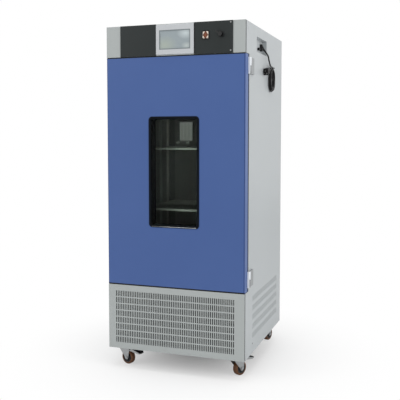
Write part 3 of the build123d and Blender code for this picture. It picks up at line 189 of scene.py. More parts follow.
# %% mesh helpers
def make_piece(name, corners, faces, body, slot, smooth=False, sharp=None):
    """A mesh from an array of corners and a list of faces, riding on a CAD body. A smooth one
    keeps an edge where its faces turn by more than sharp degrees."""
    mesh = bpy.data.meshes.new(name)
    mesh.from_pydata(np.asarray(corners, float).tolist(), [], [list(map(int, f)) for f in faces])
    mesh.validate()
    mesh.polygons.foreach_set("use_smooth", np.full(len(mesh.polygons), smooth))
    mesh.update()
    if sharp:
        mesh.set_sharp_from_angle(angle=math.radians(sharp))
    piece = into_scene(name, mesh)
    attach(piece, body)
    return piece


def grid_faces(rows, columns, wrap_rows=False, wrap_columns=False, start=0):
    """Quads between neighbours of a grid of points kept row by row."""
    r = np.arange(rows if wrap_rows else rows - 1)
    c = np.arange(columns if wrap_columns else columns - 1)
    r, c = (a.ravel() for a in np.meshgrid(r, c, indexing="ij"))
    r1, c1 = (r + 1) % rows, (c + 1) % columns
    quads = np.stack([r * columns + c, r * columns + c1, r1 * columns + c1, r1 * columns + c], 1)
    return quads + start


def tubes(ends, radius, sides=10):
    """Straight round bars: for each pair of end points, a ring of corners at each end, with
    the rings' two directions square to the bar, and a fan of corners closing each end."""
    ends = np.asarray(ends, float)
    along = ends[:, 1] - ends[:, 0]
    along /= np.linalg.norm(along, axis=1, keepdims=True)
    helper = np.where(np.abs(along[:, 2:3]) > 0.9, [[1.0, 0, 0]], [[0, 0, 1.0]])
    first = np.cross(along, helper)
    first /= np.linalg.norm(first, axis=1, keepdims=True)
    second = np.cross(along, first)
    t = (np.arange(sides) * 2 * np.pi / sides)[None, :, None]
    ring = radius * (first[:, None] * np.cos(t) + second[:, None] * np.sin(t))
    points = ends[:, :, None, :] + ring[:, None]
    corners = points.reshape(-1, 3)
    faces = []
    k = np.arange(sides)
    quad = np.stack([k, (k + 1) % sides, (k + 1) % sides + sides, k + sides], 1)
    for bar in range(len(ends)):
        base = bar * 2 * sides
        faces += (quad + base).tolist()
        faces += [list(base + k[::-1]), list(base + sides + k)]
    return corners, faces


def lathe(profile, centre, axis, across, segments=72):
    """A turned shape: the profile's (along, radius) pairs carried round the axis."""
    profile = np.asarray(profile, float)
    axis, across = np.asarray(axis, float), np.asarray(across, float)
    third = np.cross(axis, across)
    t = np.arange(segments) * 2 * np.pi / segments
    round_way = across[None] * np.cos(t)[:, None] + third[None] * np.sin(t)[:, None]
    points = (np.asarray(centre)[None, None] + profile[None, :, :1] * axis
              + profile[None, :, 1:] * round_way[:, None])
    return points.reshape(-1, 3), grid_faces(segments, len(profile), wrap_rows=True)


def joined(parts):
    """Several (corners, faces) pairs as one, with the later faces counted on."""
    corners, faces, start = [], [], 0
    for points, quads in parts:
        corners.append(np.asarray(points, float))
        faces += [[int(i) + start for i in face] for face in quads]
        start += len(points)
    return np.concatenate(corners), faces


def closed_box(x0, x1, y0, y1, z0, z1):
    """The eight corners and six outward faces of a straight strip or block."""
    corners = np.array([[x, y, z] for x in (x0, x1) for y in (y0, y1) for z in (z0, z1)])
    faces = [[0, 1, 3, 2], [4, 6, 7, 5], [0, 4, 5, 1], [2, 3, 7, 6], [1, 5, 7, 3], [0, 2, 6, 4]]
    return corners, faces


print("helpers ready")

# %% [markdown]
# The plug is one moulding: a ribbed sleeve that keeps the lead from kinking, and a body
# with soft corners and a waist for the fingers. All of it is one stack of rings along the
# lead's last direction. Each ring is a superellipse, the curve between an ellipse and a
# rectangle. Three flat pins stand in its end.

# %% the moulded plug
def ring_stack(stations, centre, along, first, second, segments=40):
    """Rings at (distance, half width, half thickness, squareness). A point at angle t stands at
    the half size times the sign of cos t (or sin t) times its absolute value to the power of
    2 over the squareness."""
    t = np.arange(segments) * 2 * np.pi / segments
    d, a, b, n = (np.array(c)[:, None] for c in zip(*stations))
    u = a * np.sign(np.cos(t)) * np.abs(np.cos(t)) ** (2 / n)
    v = b * np.sign(np.sin(t)) * np.abs(np.sin(t)) ** (2 / n)
    points = np.asarray(centre) + d[..., None] * along + u[..., None] * first + v[..., None] * second
    count = len(stations)
    faces = grid_faces(count, segments, wrap_columns=True).tolist()
    last = (count - 1) * segments
    return points.reshape(-1, 3), faces + [list(range(segments))[::-1], [last + i for i in range(segments)]]


along = np.array([0.0, *tail_direction])
first = np.array([1.0, 0.0, 0.0])
second = np.cross(along, first)
sleeve = [(0.0, 0.0046, 0.0046, 2.0)]
for rib in range(5):
    start, r = 0.001 + rib * 0.0050, 0.0050 + rib * 0.0006
    sleeve += [(start + way, r + rise, r + rise, 2.0)
               for way, rise in ((0, 0), (0.0034, 0.0004), (0.0036, -0.0010), (0.0048, -0.0010))]
body = [(0.0262, 0.0084, 0.0095, 2.4), (0.0275, 0.0100, 0.0125, 2.8), (0.0300, 0.0116, 0.0150, 3.4),
        (0.0345, 0.0128, 0.0172, 4.0), (0.0400, 0.0126, 0.0171, 4.2), (0.0460, 0.0119, 0.0162, 4.2),
        (0.0520, 0.0122, 0.0166, 4.4), (0.0570, 0.0132, 0.0178, 5.0), (0.0628, 0.0134, 0.0180, 5.4),
        (0.0637, 0.0128, 0.0174, 5.0), (0.0640, 0.0118, 0.0164, 4.6)]
plug_rings = ring_stack(sleeve + body, metres(*tail_end), along, first, second)
plug = make_piece("moulded_plug", *plug_rings, "cabinet", "cord_black", smooth=True, sharp=50)
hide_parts("mains_plug")
pin_parts = []
for u, v, lean in ((0.0, 0.007, 0.0), (-0.007, -0.007, -30.0), (0.007, -0.007, 30.0)):
    c, s = math.cos(math.radians(lean)), math.sin(math.radians(lean))
    stem = [(0.0630, 0.0030, 0.0008, 6.0), (0.0795, 0.0030, 0.0008, 6.0), (0.0812, 0.0026, 0.0007, 5.0),
            (0.0820, 0.0018, 0.0004, 3.0)]
    base = np.array(metres(*tail_end)) + u * first + v * second
    pin_parts.append(ring_stack(stem, base, along, c * second - s * first, c * first + s * second, 16))
pins = make_piece("plug_pins", *joined(pin_parts), "cabinet", "cord_black", smooth=True, sharp=40)
print("plug:", len(plug.data.polygons), "faces, lead declared")

# %% [markdown]
# The front under the door and the right side carry rows of upright punched slots with
# round ends. Cutting 705 slots with booleans would be slow and leave bad faces. Here each
# slot owns a tile of the sheet: a ring of quads leads from the tile's square outline to the
# slot's round-ended outline, so the whole field is one array.

# %% punched sheets
def slot_outline(width, height, per_end=7):
    """The round-ended slot: a half circle over the top and one under the bottom."""
    r = width / 2
    t = np.linspace(0, np.pi, per_end)
    top = np.stack([r * np.cos(t), height / 2 - r + r * np.sin(t)], 1)
    return np.concatenate([top, -top])


def tile_outline(slot, pitch_u, pitch_v):
    """Each slot corner pushed out to the tile's edge: the top and bottom halves go straight
    out to the sides of the rectangle, spread evenly over three of its sides."""
    half = len(slot) // 2
    u, v = pitch_u / 2, pitch_v / 2
    path = np.array([[u, 0.0], [u, v], [-u, v], [-u, 0.0]])
    lengths = np.concatenate([[0], np.cumsum(np.linalg.norm(np.diff(path, axis=0), axis=1))])
    over_top = np.linspace(lengths[1], lengths[2], half - 2)[1:-1]
    up_side = 0.55 * lengths[1]
    marks = np.array([up_side, lengths[1], *over_top, lengths[2], lengths[3] - up_side])
    top = np.stack([np.interp(marks, lengths, path[:, k]) for k in range(2)], 1)
    return np.concatenate([top, -top])


def slot_field(centre, pitch, count, size, depth):
    """A field of tiles in (u, v, w): the front at w = 0, the back at w = -depth."""
    slot = slot_outline(*size)
    tile = tile_outline(slot, *pitch)
    n = len(slot)
    ring = np.concatenate([tile, slot])
    i, j = np.meshgrid(np.arange(count[0]), np.arange(count[1]), indexing="ij")
    middle = np.stack([centre[0] + (i.ravel() - (count[0] - 1) / 2) * pitch[0],
                       centre[1] + (j.ravel() - (count[1] - 1) / 2) * pitch[1]], 1)
    flat = middle[:, None] + ring[None]
    front = np.concatenate([flat, np.zeros(flat.shape[:2] + (1,))], 2)
    back = front.copy()
    back[:, :, 2] = -depth
    corners = np.concatenate([front, back], 1)
    k = np.arange(n)
    k1 = (k + 1) % n
    face_front = np.stack([k, k1, n + k1, n + k], 1)
    face_back = face_front[:, ::-1] + 2 * n
    walls = np.stack([n + k, n + k1, 3 * n + k1, 3 * n + k], 1)
    one = np.concatenate([face_front, face_back, walls])
    faces = (one[None] + (np.arange(len(middle)) * 4 * n)[:, None, None]).reshape(-1, 4)
    return corners.reshape(-1, 3), faces.tolist()


def field_edges(field):
    """The left, right, low and high edge of a field: half of its tiles each side of its centre."""
    (u, v), (pitch_u, pitch_v), (count_u, count_v) = field["centre"], field["pitch"], field["count"]
    half_u, half_v = count_u * pitch_u / 2, count_v * pitch_v / 2
    return u - half_u, u + half_u, v - half_v, v + half_v


def sheet_cells(us, vs, solid, skip, depth):
    """The plain parts of a sheet cut into cells: two faces a cell, and a wall wherever a
    solid cell meets an empty one. Cells in skip are filled by a slot field instead."""
    us, vs = np.asarray(us, float), np.asarray(vs, float)
    rows, columns = len(us), len(vs)
    u, v = np.meshgrid(us, vs, indexing="ij")
    front = np.stack([u.ravel(), v.ravel(), np.zeros(u.size)], 1)
    back = front - [0, 0, depth]
    total = rows * columns
    faces = []
    for i in range(rows - 1):
        for j in range(columns - 1):
            if not solid[i][j]:
                continue
            a, b = i * columns + j, (i + 1) * columns + j
            c, d = b + 1, a + 1
            if not skip[i][j]:
                faces += [[a, b, c, d], [d + total, c + total, b + total, a + total]]
            sides = [((i - 1, j), (a, d)), ((i + 1, j), (c, b)), ((i, j - 1), (b, a)), ((i, j + 1), (d, c))]
            for (p, q), (m, n) in sides:
                if not (0 <= p < rows - 1 and 0 <= q < columns - 1 and solid[p][q]):
                    faces.append([m, n, n + total, m + total])
    return np.concatenate([front, back]), faces


def stand_up(points, origin, u_way, v_way):
    """Sheet coordinates laid out in space: u and v along two directions, w square to both."""
    u_way, v_way = np.asarray(u_way, float), np.asarray(v_way, float)
    w_way = np.cross(u_way, v_way)
    p = np.asarray(points, float)
    return np.asarray(origin, float) + p[:, :1] * u_way + p[:, 1:2] * v_way + p[:, 2:] * w_way


print("a slot's outline has", len(slot_outline(0.005, 0.030)), "corners")

# %% the front under the door
sheet = 0.0015
lo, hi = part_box("lower_front_grille")
middle_x = (lo.x + hi.x) / 2
front_field = {"centre": (middle_x - 0.006, 0.275), "pitch": (0.010, 0.035), "count": (65, 8),
               "size": (0.005, 0.0305)}
u0, u1, v0, v1 = field_edges(front_field)
cells = sheet_cells([lo.x, u0, u1, hi.x], [lo.z, v0, v1, hi.z], np.ones((3, 3), bool),
                    [[False] * 3, [False, True, False], [False] * 3], sheet)
corners, faces = joined([cells, slot_field(depth=sheet, **front_field)])
corners = stand_up(corners, (0, lo.y, 0), (1, 0, 0), (0, 0, 1))
lip = closed_box(lo.x + sheet, hi.x - sheet, lo.y + sheet, hi.y, hi.z - sheet, hi.z)
grille = make_piece("lower_grille", *joined([(corners, faces), lip]), "cabinet", "painted_grey")
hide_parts("lower_front_grille")
print("front grille:", len(grille.data.polygons), "faces,", math.prod(front_field["count"]), "slots")

# %% the right side
lo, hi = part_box("right_side_panel")
door_low, door_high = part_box("lower_front_grille")[1].z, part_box("control_fascia")[0].z
side_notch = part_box("front_frame")[0].y
recess_y = [metres(0, y, 0)[1] for y in (-187, 23)]
recess_z = [1.647, 1.724]
side_field = {"centre": (0.03965, 0.293), "pitch": (0.015, 0.048), "count": (37, 5), "size": (0.005, 0.030)}
u0, u1, v0, v1 = field_edges(side_field)
seam = lo.y + 0.012
us = sorted({lo.y, seam, side_notch, u0, *recess_y, u1, hi.y})
vs = sorted({lo.z, v0, v1, door_low, door_high, *recess_z, hi.z})
mid_u = [(a + b) / 2 for a, b in zip(us, us[1:])]
mid_v = [(a + b) / 2 for a, b in zip(vs, vs[1:])]
solid = [[not (a < side_notch and door_low < b < door_high) and a > seam
          and not (recess_y[0] < a < recess_y[1] and recess_z[0] < b < recess_z[1])
          for b in mid_v] for a in mid_u]
skip = [[u0 < a < u1 and v0 < b < v1 for b in mid_v] for a in mid_u]
cells = sheet_cells(us, vs, solid, skip, sheet)
corners, faces = joined([cells, slot_field(depth=sheet, **side_field)])
corners = stand_up(corners, (hi.x, 0, 0), (0, 1, 0), (0, 0, 1))
side = make_piece("right_side", corners, faces, "cabinet", "side_grey")
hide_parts("right_side_panel")
print("right side:", len(side.data.polygons), "faces,", math.prod(side_field["count"]), "slots")

# %% [markdown]
# Where the folded fronts meet the side there is a narrow joint, and narrow slits lie over and
# under the door. Dark strips in them paint the shadow of these gaps: they draw the fine dark
# lines that separate the parts of a sheet-metal cabinet.

# %% painted shadows of the joints
shadow_line_x = hi.x - 0.0012
strips = [closed_box(shadow_line_x - 0.002, shadow_line_x, lo.y, seam + 0.0005, z0, z1) for z0, z1 in
          ((lo.z + 0.001, door_low - 0.001), (door_high + 0.001, hi.z - 0.001))]
door_lo, door_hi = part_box("door_shell")
for z0, z1 in ((door_low, door_low + 0.0012), (door_high - 0.0012, door_high)):
    strips.append(closed_box(door_lo.x + 0.002, door_hi.x - 0.002, door_lo.y + 0.0015, door_hi.y, z0, z1))
# dark strips that paint the shadow in the side joint and in the slits over and under the door
make_piece("joint_seals", *joined(strips), "cabinet", "rubber")
print("joint shadows:", len(strips), "strips")

# %% [markdown]
# A shelf of a growth chamber is welded from round wire: a thick frame and thin wires from
# front to back over a cross wire. Each is a straight tube, so all the wires of a shelf are
# one array of end points.

# %% wire shelves
def wire_shelf(node, name):
    """A frame of four thick wires, three cross wires, a second front wire and 41 thin wires."""
    lo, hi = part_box(node)
    thick, thin, thin_count = 0.003, 0.00155, 41
    z = lo.z + thick
    x0, x1, y0, y1 = lo.x + thick, hi.x - thick, lo.y + thick, hi.y - thick
    frame_ends = [[(x0, y0, z), (x1, y0, z)], [(x0, y1, z), (x1, y1, z)],
                  [(x0, y0, z), (x0, y1, z)], [(x1, y0, z), (x1, y1, z)]]
    frame_ends += [[(x0, y0 + (y1 - y0) * s, z - 0.0008), (x1, y0 + (y1 - y0) * s, z - 0.0008)]
                   for s in (0.25, 0.5, 0.75)]
    drop = z - 0.0060
    frame_ends.append([(x0 + 0.020, y0, drop), (x1 - 0.020, y0, drop)])
    frame_ends += [[(x, y0, drop), (x, y0, z)] for x in np.linspace(x0 + 0.020, x1 - 0.020, 7)]
    x = np.linspace(x0, x1, thin_count + 2)[1:-1]
    thin_ends = np.stack([np.stack([x, np.full(thin_count, y), np.full(thin_count, hi.z - thin)], 1)
                          for y in (y0, y1)], 1)
    body = body_of(nodes[node])[0]
    shelf = make_piece(name, *tubes(frame_ends, thick - 0.0002, 12), body, "stainless", smooth=True)
    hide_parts(node)
    make_piece(name + "_wires", *tubes(thin_ends, thin, 8), body, "stainless", smooth=True)
    return len(shelf.data.polygons)


print("shelves:", [wire_shelf(level + "_shelf", level + "_wire_shelf") for level in ("lower", "upper")])

# %% [markdown]
# Each caster wheel has a brown polyurethane tread on a dark core. Both are turned shapes,
# so each is a profile carried round the axle. The tread's profile has the full round
# shoulders and the thin parting line of the real one.

# %% caster wheels
casters = ("front_left", "front_right", "back_left", "back_right")


def all_four(kind):
    """The names of one kind of piece on the four casters."""
    return [kind + "_" + name for name in casters]


def shoulder(centre, radius, angle0, angle1, steps=7):
    """Points on an arc between two angles, for the rounded edge of a tread."""
    t = np.radians(np.linspace(angle0, angle1, steps))
    return [(centre[0] + radius * math.cos(a), centre[1] + radius * math.sin(a)) for a in t]


half, top, arc = 0.0145, 0.0375, 0.0070
tread_profile = [(-half + 0.0004, 0.0285), *shoulder((-half + arc, top - arc), arc, 180, 90),
                 (-0.0006, top), (0, top - 0.0005), (0.0006, top),
                 *shoulder((half - arc, top - arc), arc, 90, 0), (half - 0.0004, 0.0285),
                 (half - 0.003, 0.0275), (-half + 0.003, 0.0275), (-half + 0.0004, 0.0285)]
hub_side = [(0.0155, 0.0051), (0.0155, 0.0120), (0.0150, 0.0128), (0.0115, 0.0142), (0.0105, 0.0160),
            (0.0105, 0.0240), (0.0118, 0.0262), (0.0128, 0.0276)]
hub_profile = [(-along, radius) for along, radius in hub_side] + hub_side[::-1] + [(-0.0155, 0.0051)]
for name in casters:
    joint = next(j for j in frame["joints"] if j["name"] == name + "_roll")
    centre, axle = Vector(joint["pos_m"]), Vector(joint["axis"]).normalized()
    across = axle.cross(Vector((0, 0, 1))).normalized()
    for kind, profile, slot in (("tread_", tread_profile, "wheel_brown"),
                                ("hub_", hub_profile, "black_plastic")):
        turned = lathe(profile[::-1], centre, axle, across)
        piece = make_piece(kind + name, *turned, "wheel_" + name, slot, smooth=True, sharp=38)
    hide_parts("wheel_" + name)
print("wheels turned:", len(casters))

# %% [markdown]
# The two front casters have a brake pedal: a channel of bright steel on a tube that turns on
# the fork's pin, with a black ribbed tread for the shoe. Strip, cheeks and tread are each one
# closed outline in the pedal's side view, carried across a width. The strip reaches a little
# past the CAD solid's, as it does in the photo.

# %% brake pedals
def side_strip(outline, half, x, y, turn, aside=0.0):
    """A closed outline in the caster's side view, given width, turned and set in its place."""
    flat = np.asarray(outline, float)
    n = len(flat)
    local = np.concatenate([np.stack([flat[:, 0], np.full(n, aside + side * half), flat[:, 1]], 1)
                            for side in (-1, 1)])
    c, s = math.cos(math.radians(turn)), math.sin(math.radians(turn))
    corners = np.array(metres(x, y, 0)) + np.stack([c * local[:, 0] - s * local[:, 1],
                                                    s * local[:, 0] + c * local[:, 1], local[:, 2]], 1)
    k = np.arange(n)
    rim = np.stack([k, k + n, (k + 1) % n + n, (k + 1) % n], 1).tolist()
    return corners, rim + [k.tolist(), (k[::-1] + n).tolist()]


def pedal_of(name, x, y, turn):
    """The steel channel with its tube on the pin, and the ribbed tread on top of it."""
    upper = np.array([(0.0360, 0.0812), (0.0440, 0.0815), (0.0500, 0.0835), (0.0560, 0.0870),
                      (0.0610, 0.0885), (0.0700, 0.0876), (0.0960, 0.0811), (0.1050, 0.0784),
                      (0.1130, 0.0744), (0.1155, 0.0704)])
    thickness = 0.0022
    lower = upper[::-1] - thickness
    lower[-1] = (0.0360, 0.0784)
    cheek = [(0.0400, 0.0794), (0.0500, 0.0814), (0.0560, 0.0848), (0.0610, 0.0864), (0.0700, 0.0855),
             (0.0960, 0.0790), (0.1050, 0.0763), (0.1115, 0.0729), (0.1128, 0.0700), (0.1040, 0.0672),
             (0.0800, 0.0706), (0.0600, 0.0736), (0.0480, 0.0742), (0.0400, 0.0752)]
    sides = [side_strip(cheek, 0.0010, x, y, turn, aside=side * 0.0154) for side in (-1, 1)]
    strip = joined([side_strip(np.concatenate([upper, lower]), 0.0165, x, y, turn), *sides])
    c, s = math.cos(math.radians(turn)), math.sin(math.radians(turn))
    middle = np.array(metres(x + 34 * c, y + 34 * s, 79))
    tube = [(-0.0140, 0.0026), (-0.0140, 0.0043), (0.0140, 0.0043), (0.0140, 0.0026), (-0.0140, 0.0026)]
    eye = lathe(tube[::-1], middle, (-s, c, 0), (c, s, 0), 40)
    plate = make_piece("plate_" + name, *joined([strip, eye]), "pedal_" + name, "zinc")
    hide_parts("pedal_" + name)
    start, drop, rib_count, rib_pitch = np.array([0.0620, 0.0884]), math.radians(14), 9, 0.0056
    outline = [(0.0, -0.0010), (0.0, 0.0020)]
    for rib in 0.0012 + np.arange(rib_count) * rib_pitch:
        outline += [(rib, 0.0022), (rib + 0.0008, 0.0038), (rib + 0.0034, 0.0038), (rib + 0.0042, 0.0022)]
    outline += [(0.0514, 0.0020), (0.0516, -0.0010)]
    flat = np.array(outline)
    along = np.stack([math.cos(drop) * flat[:, 0] + math.sin(drop) * flat[:, 1],
                      -math.sin(drop) * flat[:, 0] + math.cos(drop) * flat[:, 1]], 1)
    pad = side_strip(start + along, 0.0182, x, y, turn)
    return make_piece("pad_" + name, *pad, "pedal_" + name, "rubber")


pads = [pedal_of("front_left", -318, -313, -17), pedal_of("front_right", 304, -313, 63)]
print("pads:", [len(p.data.polygons) for p in pads])

# %% [markdown]
# Small parts on the fronts finish the look: the grey frame line round the display glass, a dark
# strip at the housing's right side that paints the shadow of the proud housing, the knurled cap
# of the fuse holder in the recess, a bright bead that closes the sheet's cut edge under the window
# and, laid only where that edge catches the light, is partly a painted highlight, darker blue strips
# at the door's two upright edges that paint the shade of its rounded edges, and dark strips that
# paint the shadows of the gaps over, under and behind the door. On the left the door is flush with
# the cabinet's widest place, so no shadow strip is behind it there.
# A dark sheet on the machine room's back wall is painted shade: it keeps the slots dark.

# %% display edge, fuse cap, window bead and door trim
lo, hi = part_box("display_screen")
line, face = 0.0040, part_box("display_bezel")[0].y
ring = [closed_box(x0, x1, face - 0.0003, face + 0.0012, z0, z1) for x0, x1, z0, z1 in (
    (lo.x - line, hi.x + line, lo.z - line, lo.z), (lo.x - line, hi.x + line, hi.z, hi.z + line),
    (lo.x - line, lo.x, lo.z, hi.z), (hi.x, hi.x + line, lo.z, hi.z))]
make_piece("display_edge", *joined(ring), "cabinet", "black_plastic")
lo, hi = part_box("display_bezel")
plate_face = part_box("control_plates")[0].y
# a dark strip on the plate at the housing's right side: painted shadow of the proud housing
shadow_strip = closed_box(hi.x, hi.x + 0.0065, plate_face - 0.0004, plate_face + 0.001, lo.z, hi.z)
make_piece("display_gasket", *shadow_strip, "cabinet", "rubber")
knurls = 72
turns = np.arange(knurls)
around = turns * 2 * np.pi / knurls
cap_radius, knurl_height = 0.0073, 0.0003
knurl = cap_radius + knurl_height * (turns % 2)
fuse_x, fuse_y, fuse_z = metres(346, -89, 1673)
rings = [np.stack([np.full(knurls, fuse_x + depth), fuse_y + radius * np.cos(around),
                   fuse_z + radius * np.sin(around)], 1)
         for depth, radius in ((0.0035, knurl), (0.0145, knurl), (0.0152, knurl - 0.0012))]
cap_faces = grid_faces(3, knurls, wrap_columns=True).tolist()
cap_faces += [turns[::-1].tolist(), (turns + 2 * knurls).tolist()]
make_piece("fuse_cap", np.concatenate(rings), cap_faces, "cabinet", "black_plastic")
lo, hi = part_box("window_frame")
# a bright metal bead for the sheet's cut edge, laid only along the window's bottom where that edge catches
# the light: partly a real edge, partly a painted highlight
highlight_ends = [(x, lo.y + 0.0004, lo.z + 0.0046) for x in (lo.x + 0.016, hi.x - 0.016)]
door_body = body_of(nodes["door_shell"])[0]
make_piece("window_bead", *tubes([highlight_ends], 0.0011, 12), door_body, "zinc", smooth=True)
margins = []
lo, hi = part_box("control_plates")
fascia_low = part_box("control_fascia")[0].z
for start, width in ((-291.0, 196.0), (108.6, 198.4)):
    x0 = metres(start, 0, 0)[0]
    margins.append(closed_box(x0, x0 + width / 1000, lo.y, hi.y, fascia_low, lo.z + 0.0002))
make_piece("plate_feet", *joined(margins), "cabinet", "dark_plate")
# dark strips behind the door's right edge, along its top and bottom, and on its front at top and bottom:
# painted shadow of the gaps round the door
back, proud = door_hi.y - 0.0005, 0.0004
shadow_depth, shade_from, shade_to = 0.0110, 0.0016, 0.0060
shadow_lines = [closed_box(x0, x1, back - shadow_depth, back, z0, z1) for x0, x1, z0, z1 in (
    (door_hi.x, door_hi.x + proud, door_lo.z - proud, door_hi.z + proud),
    (door_lo.x, door_hi.x, door_lo.z - proud, door_lo.z),
    (door_lo.x, door_hi.x, door_hi.z, door_hi.z + proud))]
shadow_lines += [closed_box(door_lo.x + 0.0010, door_hi.x - 0.0006, door_lo.y - 0.0003, door_lo.y + 0.0030, z0, z1)
         for z0, z1 in ((door_lo.z - proud, door_lo.z + 0.0042), (door_hi.z - 0.0026, door_hi.z + proud))]
make_piece("seal_lip", *joined(shadow_lines), door_body, "rubber")
# darker blue strips on the door's front at its two upright edges: painted shade of the rounded edges
edge_shades = [closed_box(x0, x1, door_lo.y - 0.0002, door_lo.y + 0.0005, door_lo.z + 0.002, door_hi.z - 0.002)
        for x0, x1 in ((door_hi.x - shade_to, door_hi.x - shade_from),
                       (door_lo.x + shade_from, door_lo.x + 0.0040))]
make_piece("door_hems", *joined(edge_shades), door_body, "painted_blue")
lo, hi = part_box("back_panel")
room_low, room_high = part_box("lower_front_grille")[0].z + 0.006, door_low - 0.008
# a dark sheet on the machine room's back wall: painted shade seen through the slots
shade_sheet = closed_box(lo.x + 0.02, hi.x - 0.02, lo.y - 0.0035, lo.y - 0.0005, room_low, room_high)
make_piece("back_felt", *shade_sheet, "cabinet", "foam")
print("display edge, fuse cap, window edge highlight, plate feet and painted door shade and shadow lines made")

# %% [markdown]
# A real sheet-metal edge is never knife sharp: a narrow rounding catches a line of light.
# The CAD solids are right in size, so they stay, and a Bevel modifier rounds their edges.

# %% soften the CAD edges
roundings = {
    "door_shell": 0.0014, "control_fascia": 0.0008, "top_cover": 0.0006, "left_side_panel": 0.0005,
    "back_panel": 0.0005, "display_bezel": 0.0012, "control_plates": 0.0004, "switch_bezels": 0.0007,
    "selector_lever": 0.0010, "rocker": 0.0008, "cabinet_hinge_leaves": 0.0006,
    "door_hinge_leaves": 0.0006, "window_frame": 0.0008, "breaker": 0.0006, "breaker_toggle": 0.0005,
    "caster_plates": 0.0005, "door_gasket": 0.0012, "power_recess": 0.0004, "panel_screws": 0.0004,
    "display_screen": 0.0002, **{fork: 0.0006 for fork in all_four("fork")},
}
for name, width in roundings.items():
    weld = nodes[name].modifiers.new("weld", "WELD")
    weld.merge_threshold = 0.00002
    edge = nodes[name].modifiers.new("rounding", "BEVEL")
    edge.width = width
    edge.segments = 2
    edge.limit_method = "ANGLE"
    edge.angle_limit = math.radians(40)
print("rounded:", len(roundings))

# %% [markdown]
# Colours are kept as the eye reads them and turned into the linear values that shaders
# work in. Many finishes share an effect, so each effect is a node group: the powder coat's
# fine orange peel and faint clouding, the grain of brushed steel, and further on a soft
# patch. Nodes are made and wired by two short helpers, because a long list of calls hides
# what leads where.

# %% colour and node helpers
def linear(red, green, blue):
    """Screen values 0 to 255 as linear light, by the sRGB curve."""
    c = np.array([red, green, blue]) / 255
    lin = np.where(c <= 0.04045, c / 12.92, ((c + 0.055) / 1.055) ** 2.4)
    return (*lin.tolist(), 1.0)


def add_node(tree, kind, values=None, **settings):
    """A new node of a tree, with its settings by keyword and its sockets' values by name."""
    node = tree.nodes.new("ShaderNode" + kind)
    for setting, value in settings.items():
        setattr(node, setting, value)
    for socket, value in (values or {}).items():
        node.inputs[socket].default_value = value
    return node


def wire(tree, *links):
    """Links, each given as a node, its output, the node that it leads to and that one's input."""
    for source, output, target, socket in links:
        tree.links.new(source.outputs[output], target.inputs[socket])


def new_group(name, inputs, outputs):
    """An empty shader group with named sockets, and its input and output nodes. An input is a
    number, a vector of three or a colour of four, as its first value says."""
    group = bpy.data.node_groups.new(name, "ShaderNodeTree")
    for label, value in inputs.items():
        kind = "Float" if isinstance(value, float) else {3: "Vector", 4: "Color"}[len(value)]
        socket = group.interface.new_socket(label, in_out="INPUT", socket_type="NodeSocket" + kind)
        socket.default_value = value
    for label, kind in outputs.items():
        group.interface.new_socket(label, in_out="OUTPUT", socket_type="NodeSocket" + kind)
    return group, group.nodes.new("NodeGroupInput"), group.nodes.new("NodeGroupOutput")


def led_by(group, group_in, group_out, pattern, height, distance):
    """Tone and roughness run from the group's low values to its high ones with one noise, and
    the bump, which is given back, follows another."""
    tone = add_node(group, "Mix", data_type="RGBA")
    rough = add_node(group, "MapRange")
    bump = add_node(group, "Bump", {"Distance": distance})
    wire(group, (pattern, "Fac", tone, "Factor"), (group_in, "Dark tone", tone, "A"),
         (group_in, "Light tone", tone, "B"), (tone, "Result", group_out, "Colour"),
         (pattern, "Fac", rough, "Value"), (group_in, "Rough low", rough, "To Min"),
         (group_in, "Rough high", rough, "To Max"), (rough, "Result", group_out, "Roughness"),
         (height, "Fac", bump, "Height"), (bump, "Normal", group_out, "Normal"))
    return bump


print("mid grey as linear light:", [round(c, 3) for c in linear(128, 128, 128)])

# %% the powder coat group
surface_outputs = {"Colour": "Color", "Roughness": "Float", "Normal": "Vector"}
coat, coat_in, coat_out = new_group(
    "powder_coat", {"Light tone": (0.5, 0.5, 0.5, 1), "Dark tone": (0.4, 0.4, 0.4, 1), "Cloud size": 3.0,
                    "Peel size": 900.0, "Peel depth": 0.08, "Rough low": 0.3, "Rough high": 0.4},
    surface_outputs)
place = add_node(coat, "TexCoord")
clouds = add_node(coat, "TexNoise", {"Detail": 3.0, "Roughness": 0.5})
peel = add_node(coat, "TexNoise", {"Detail": 1.5, "Roughness": 0.5})
bump = led_by(coat, coat_in, coat_out, clouds, peel, 0.0002)
wire(coat, (place, "Object", clouds, "Vector"), (place, "Object", peel, "Vector"),
     (coat_in, "Cloud size", clouds, "Scale"), (coat_in, "Peel size", peel, "Scale"),
     (coat_in, "Peel depth", bump, "Strength"))
print("group", coat.name)

# %% the brushed steel group
brushed, brushed_in, brushed_out = new_group(
    "brushed_grain", {"Light tone": (0.6, 0.6, 0.6, 1), "Dark tone": (0.45, 0.45, 0.45, 1),
                      "Along": (4.0, 4.0, 600.0), "Rough low": 0.25, "Rough high": 0.45},
    surface_outputs)
place = add_node(brushed, "TexCoord")
stretch = add_node(brushed, "VectorMath", operation="MULTIPLY")
lines = add_node(brushed, "TexNoise", {"Scale": 1.0, "Detail": 2.0, "Roughness": 0.6})
bump = led_by(brushed, brushed_in, brushed_out, lines, lines, 0.0001)
bump.inputs["Strength"].default_value = 0.12
wire(brushed, (place, "Object", stretch, 0), (brushed_in, "Along", stretch, 1),
     (stretch, "Vector", lines, "Vector"))
print("group", brushed.name)


# %% finishes from the groups
def new_material(name, values):
    """A material with the standard shader, and the values of some of the shader's sockets."""
    material = bpy.data.materials.new(name)
    material.use_nodes = True
    shader = material.node_tree.nodes["Principled BSDF"]
    for socket, value in values.items():
        shader.inputs[socket].default_value = value
    return material, material.node_tree, shader


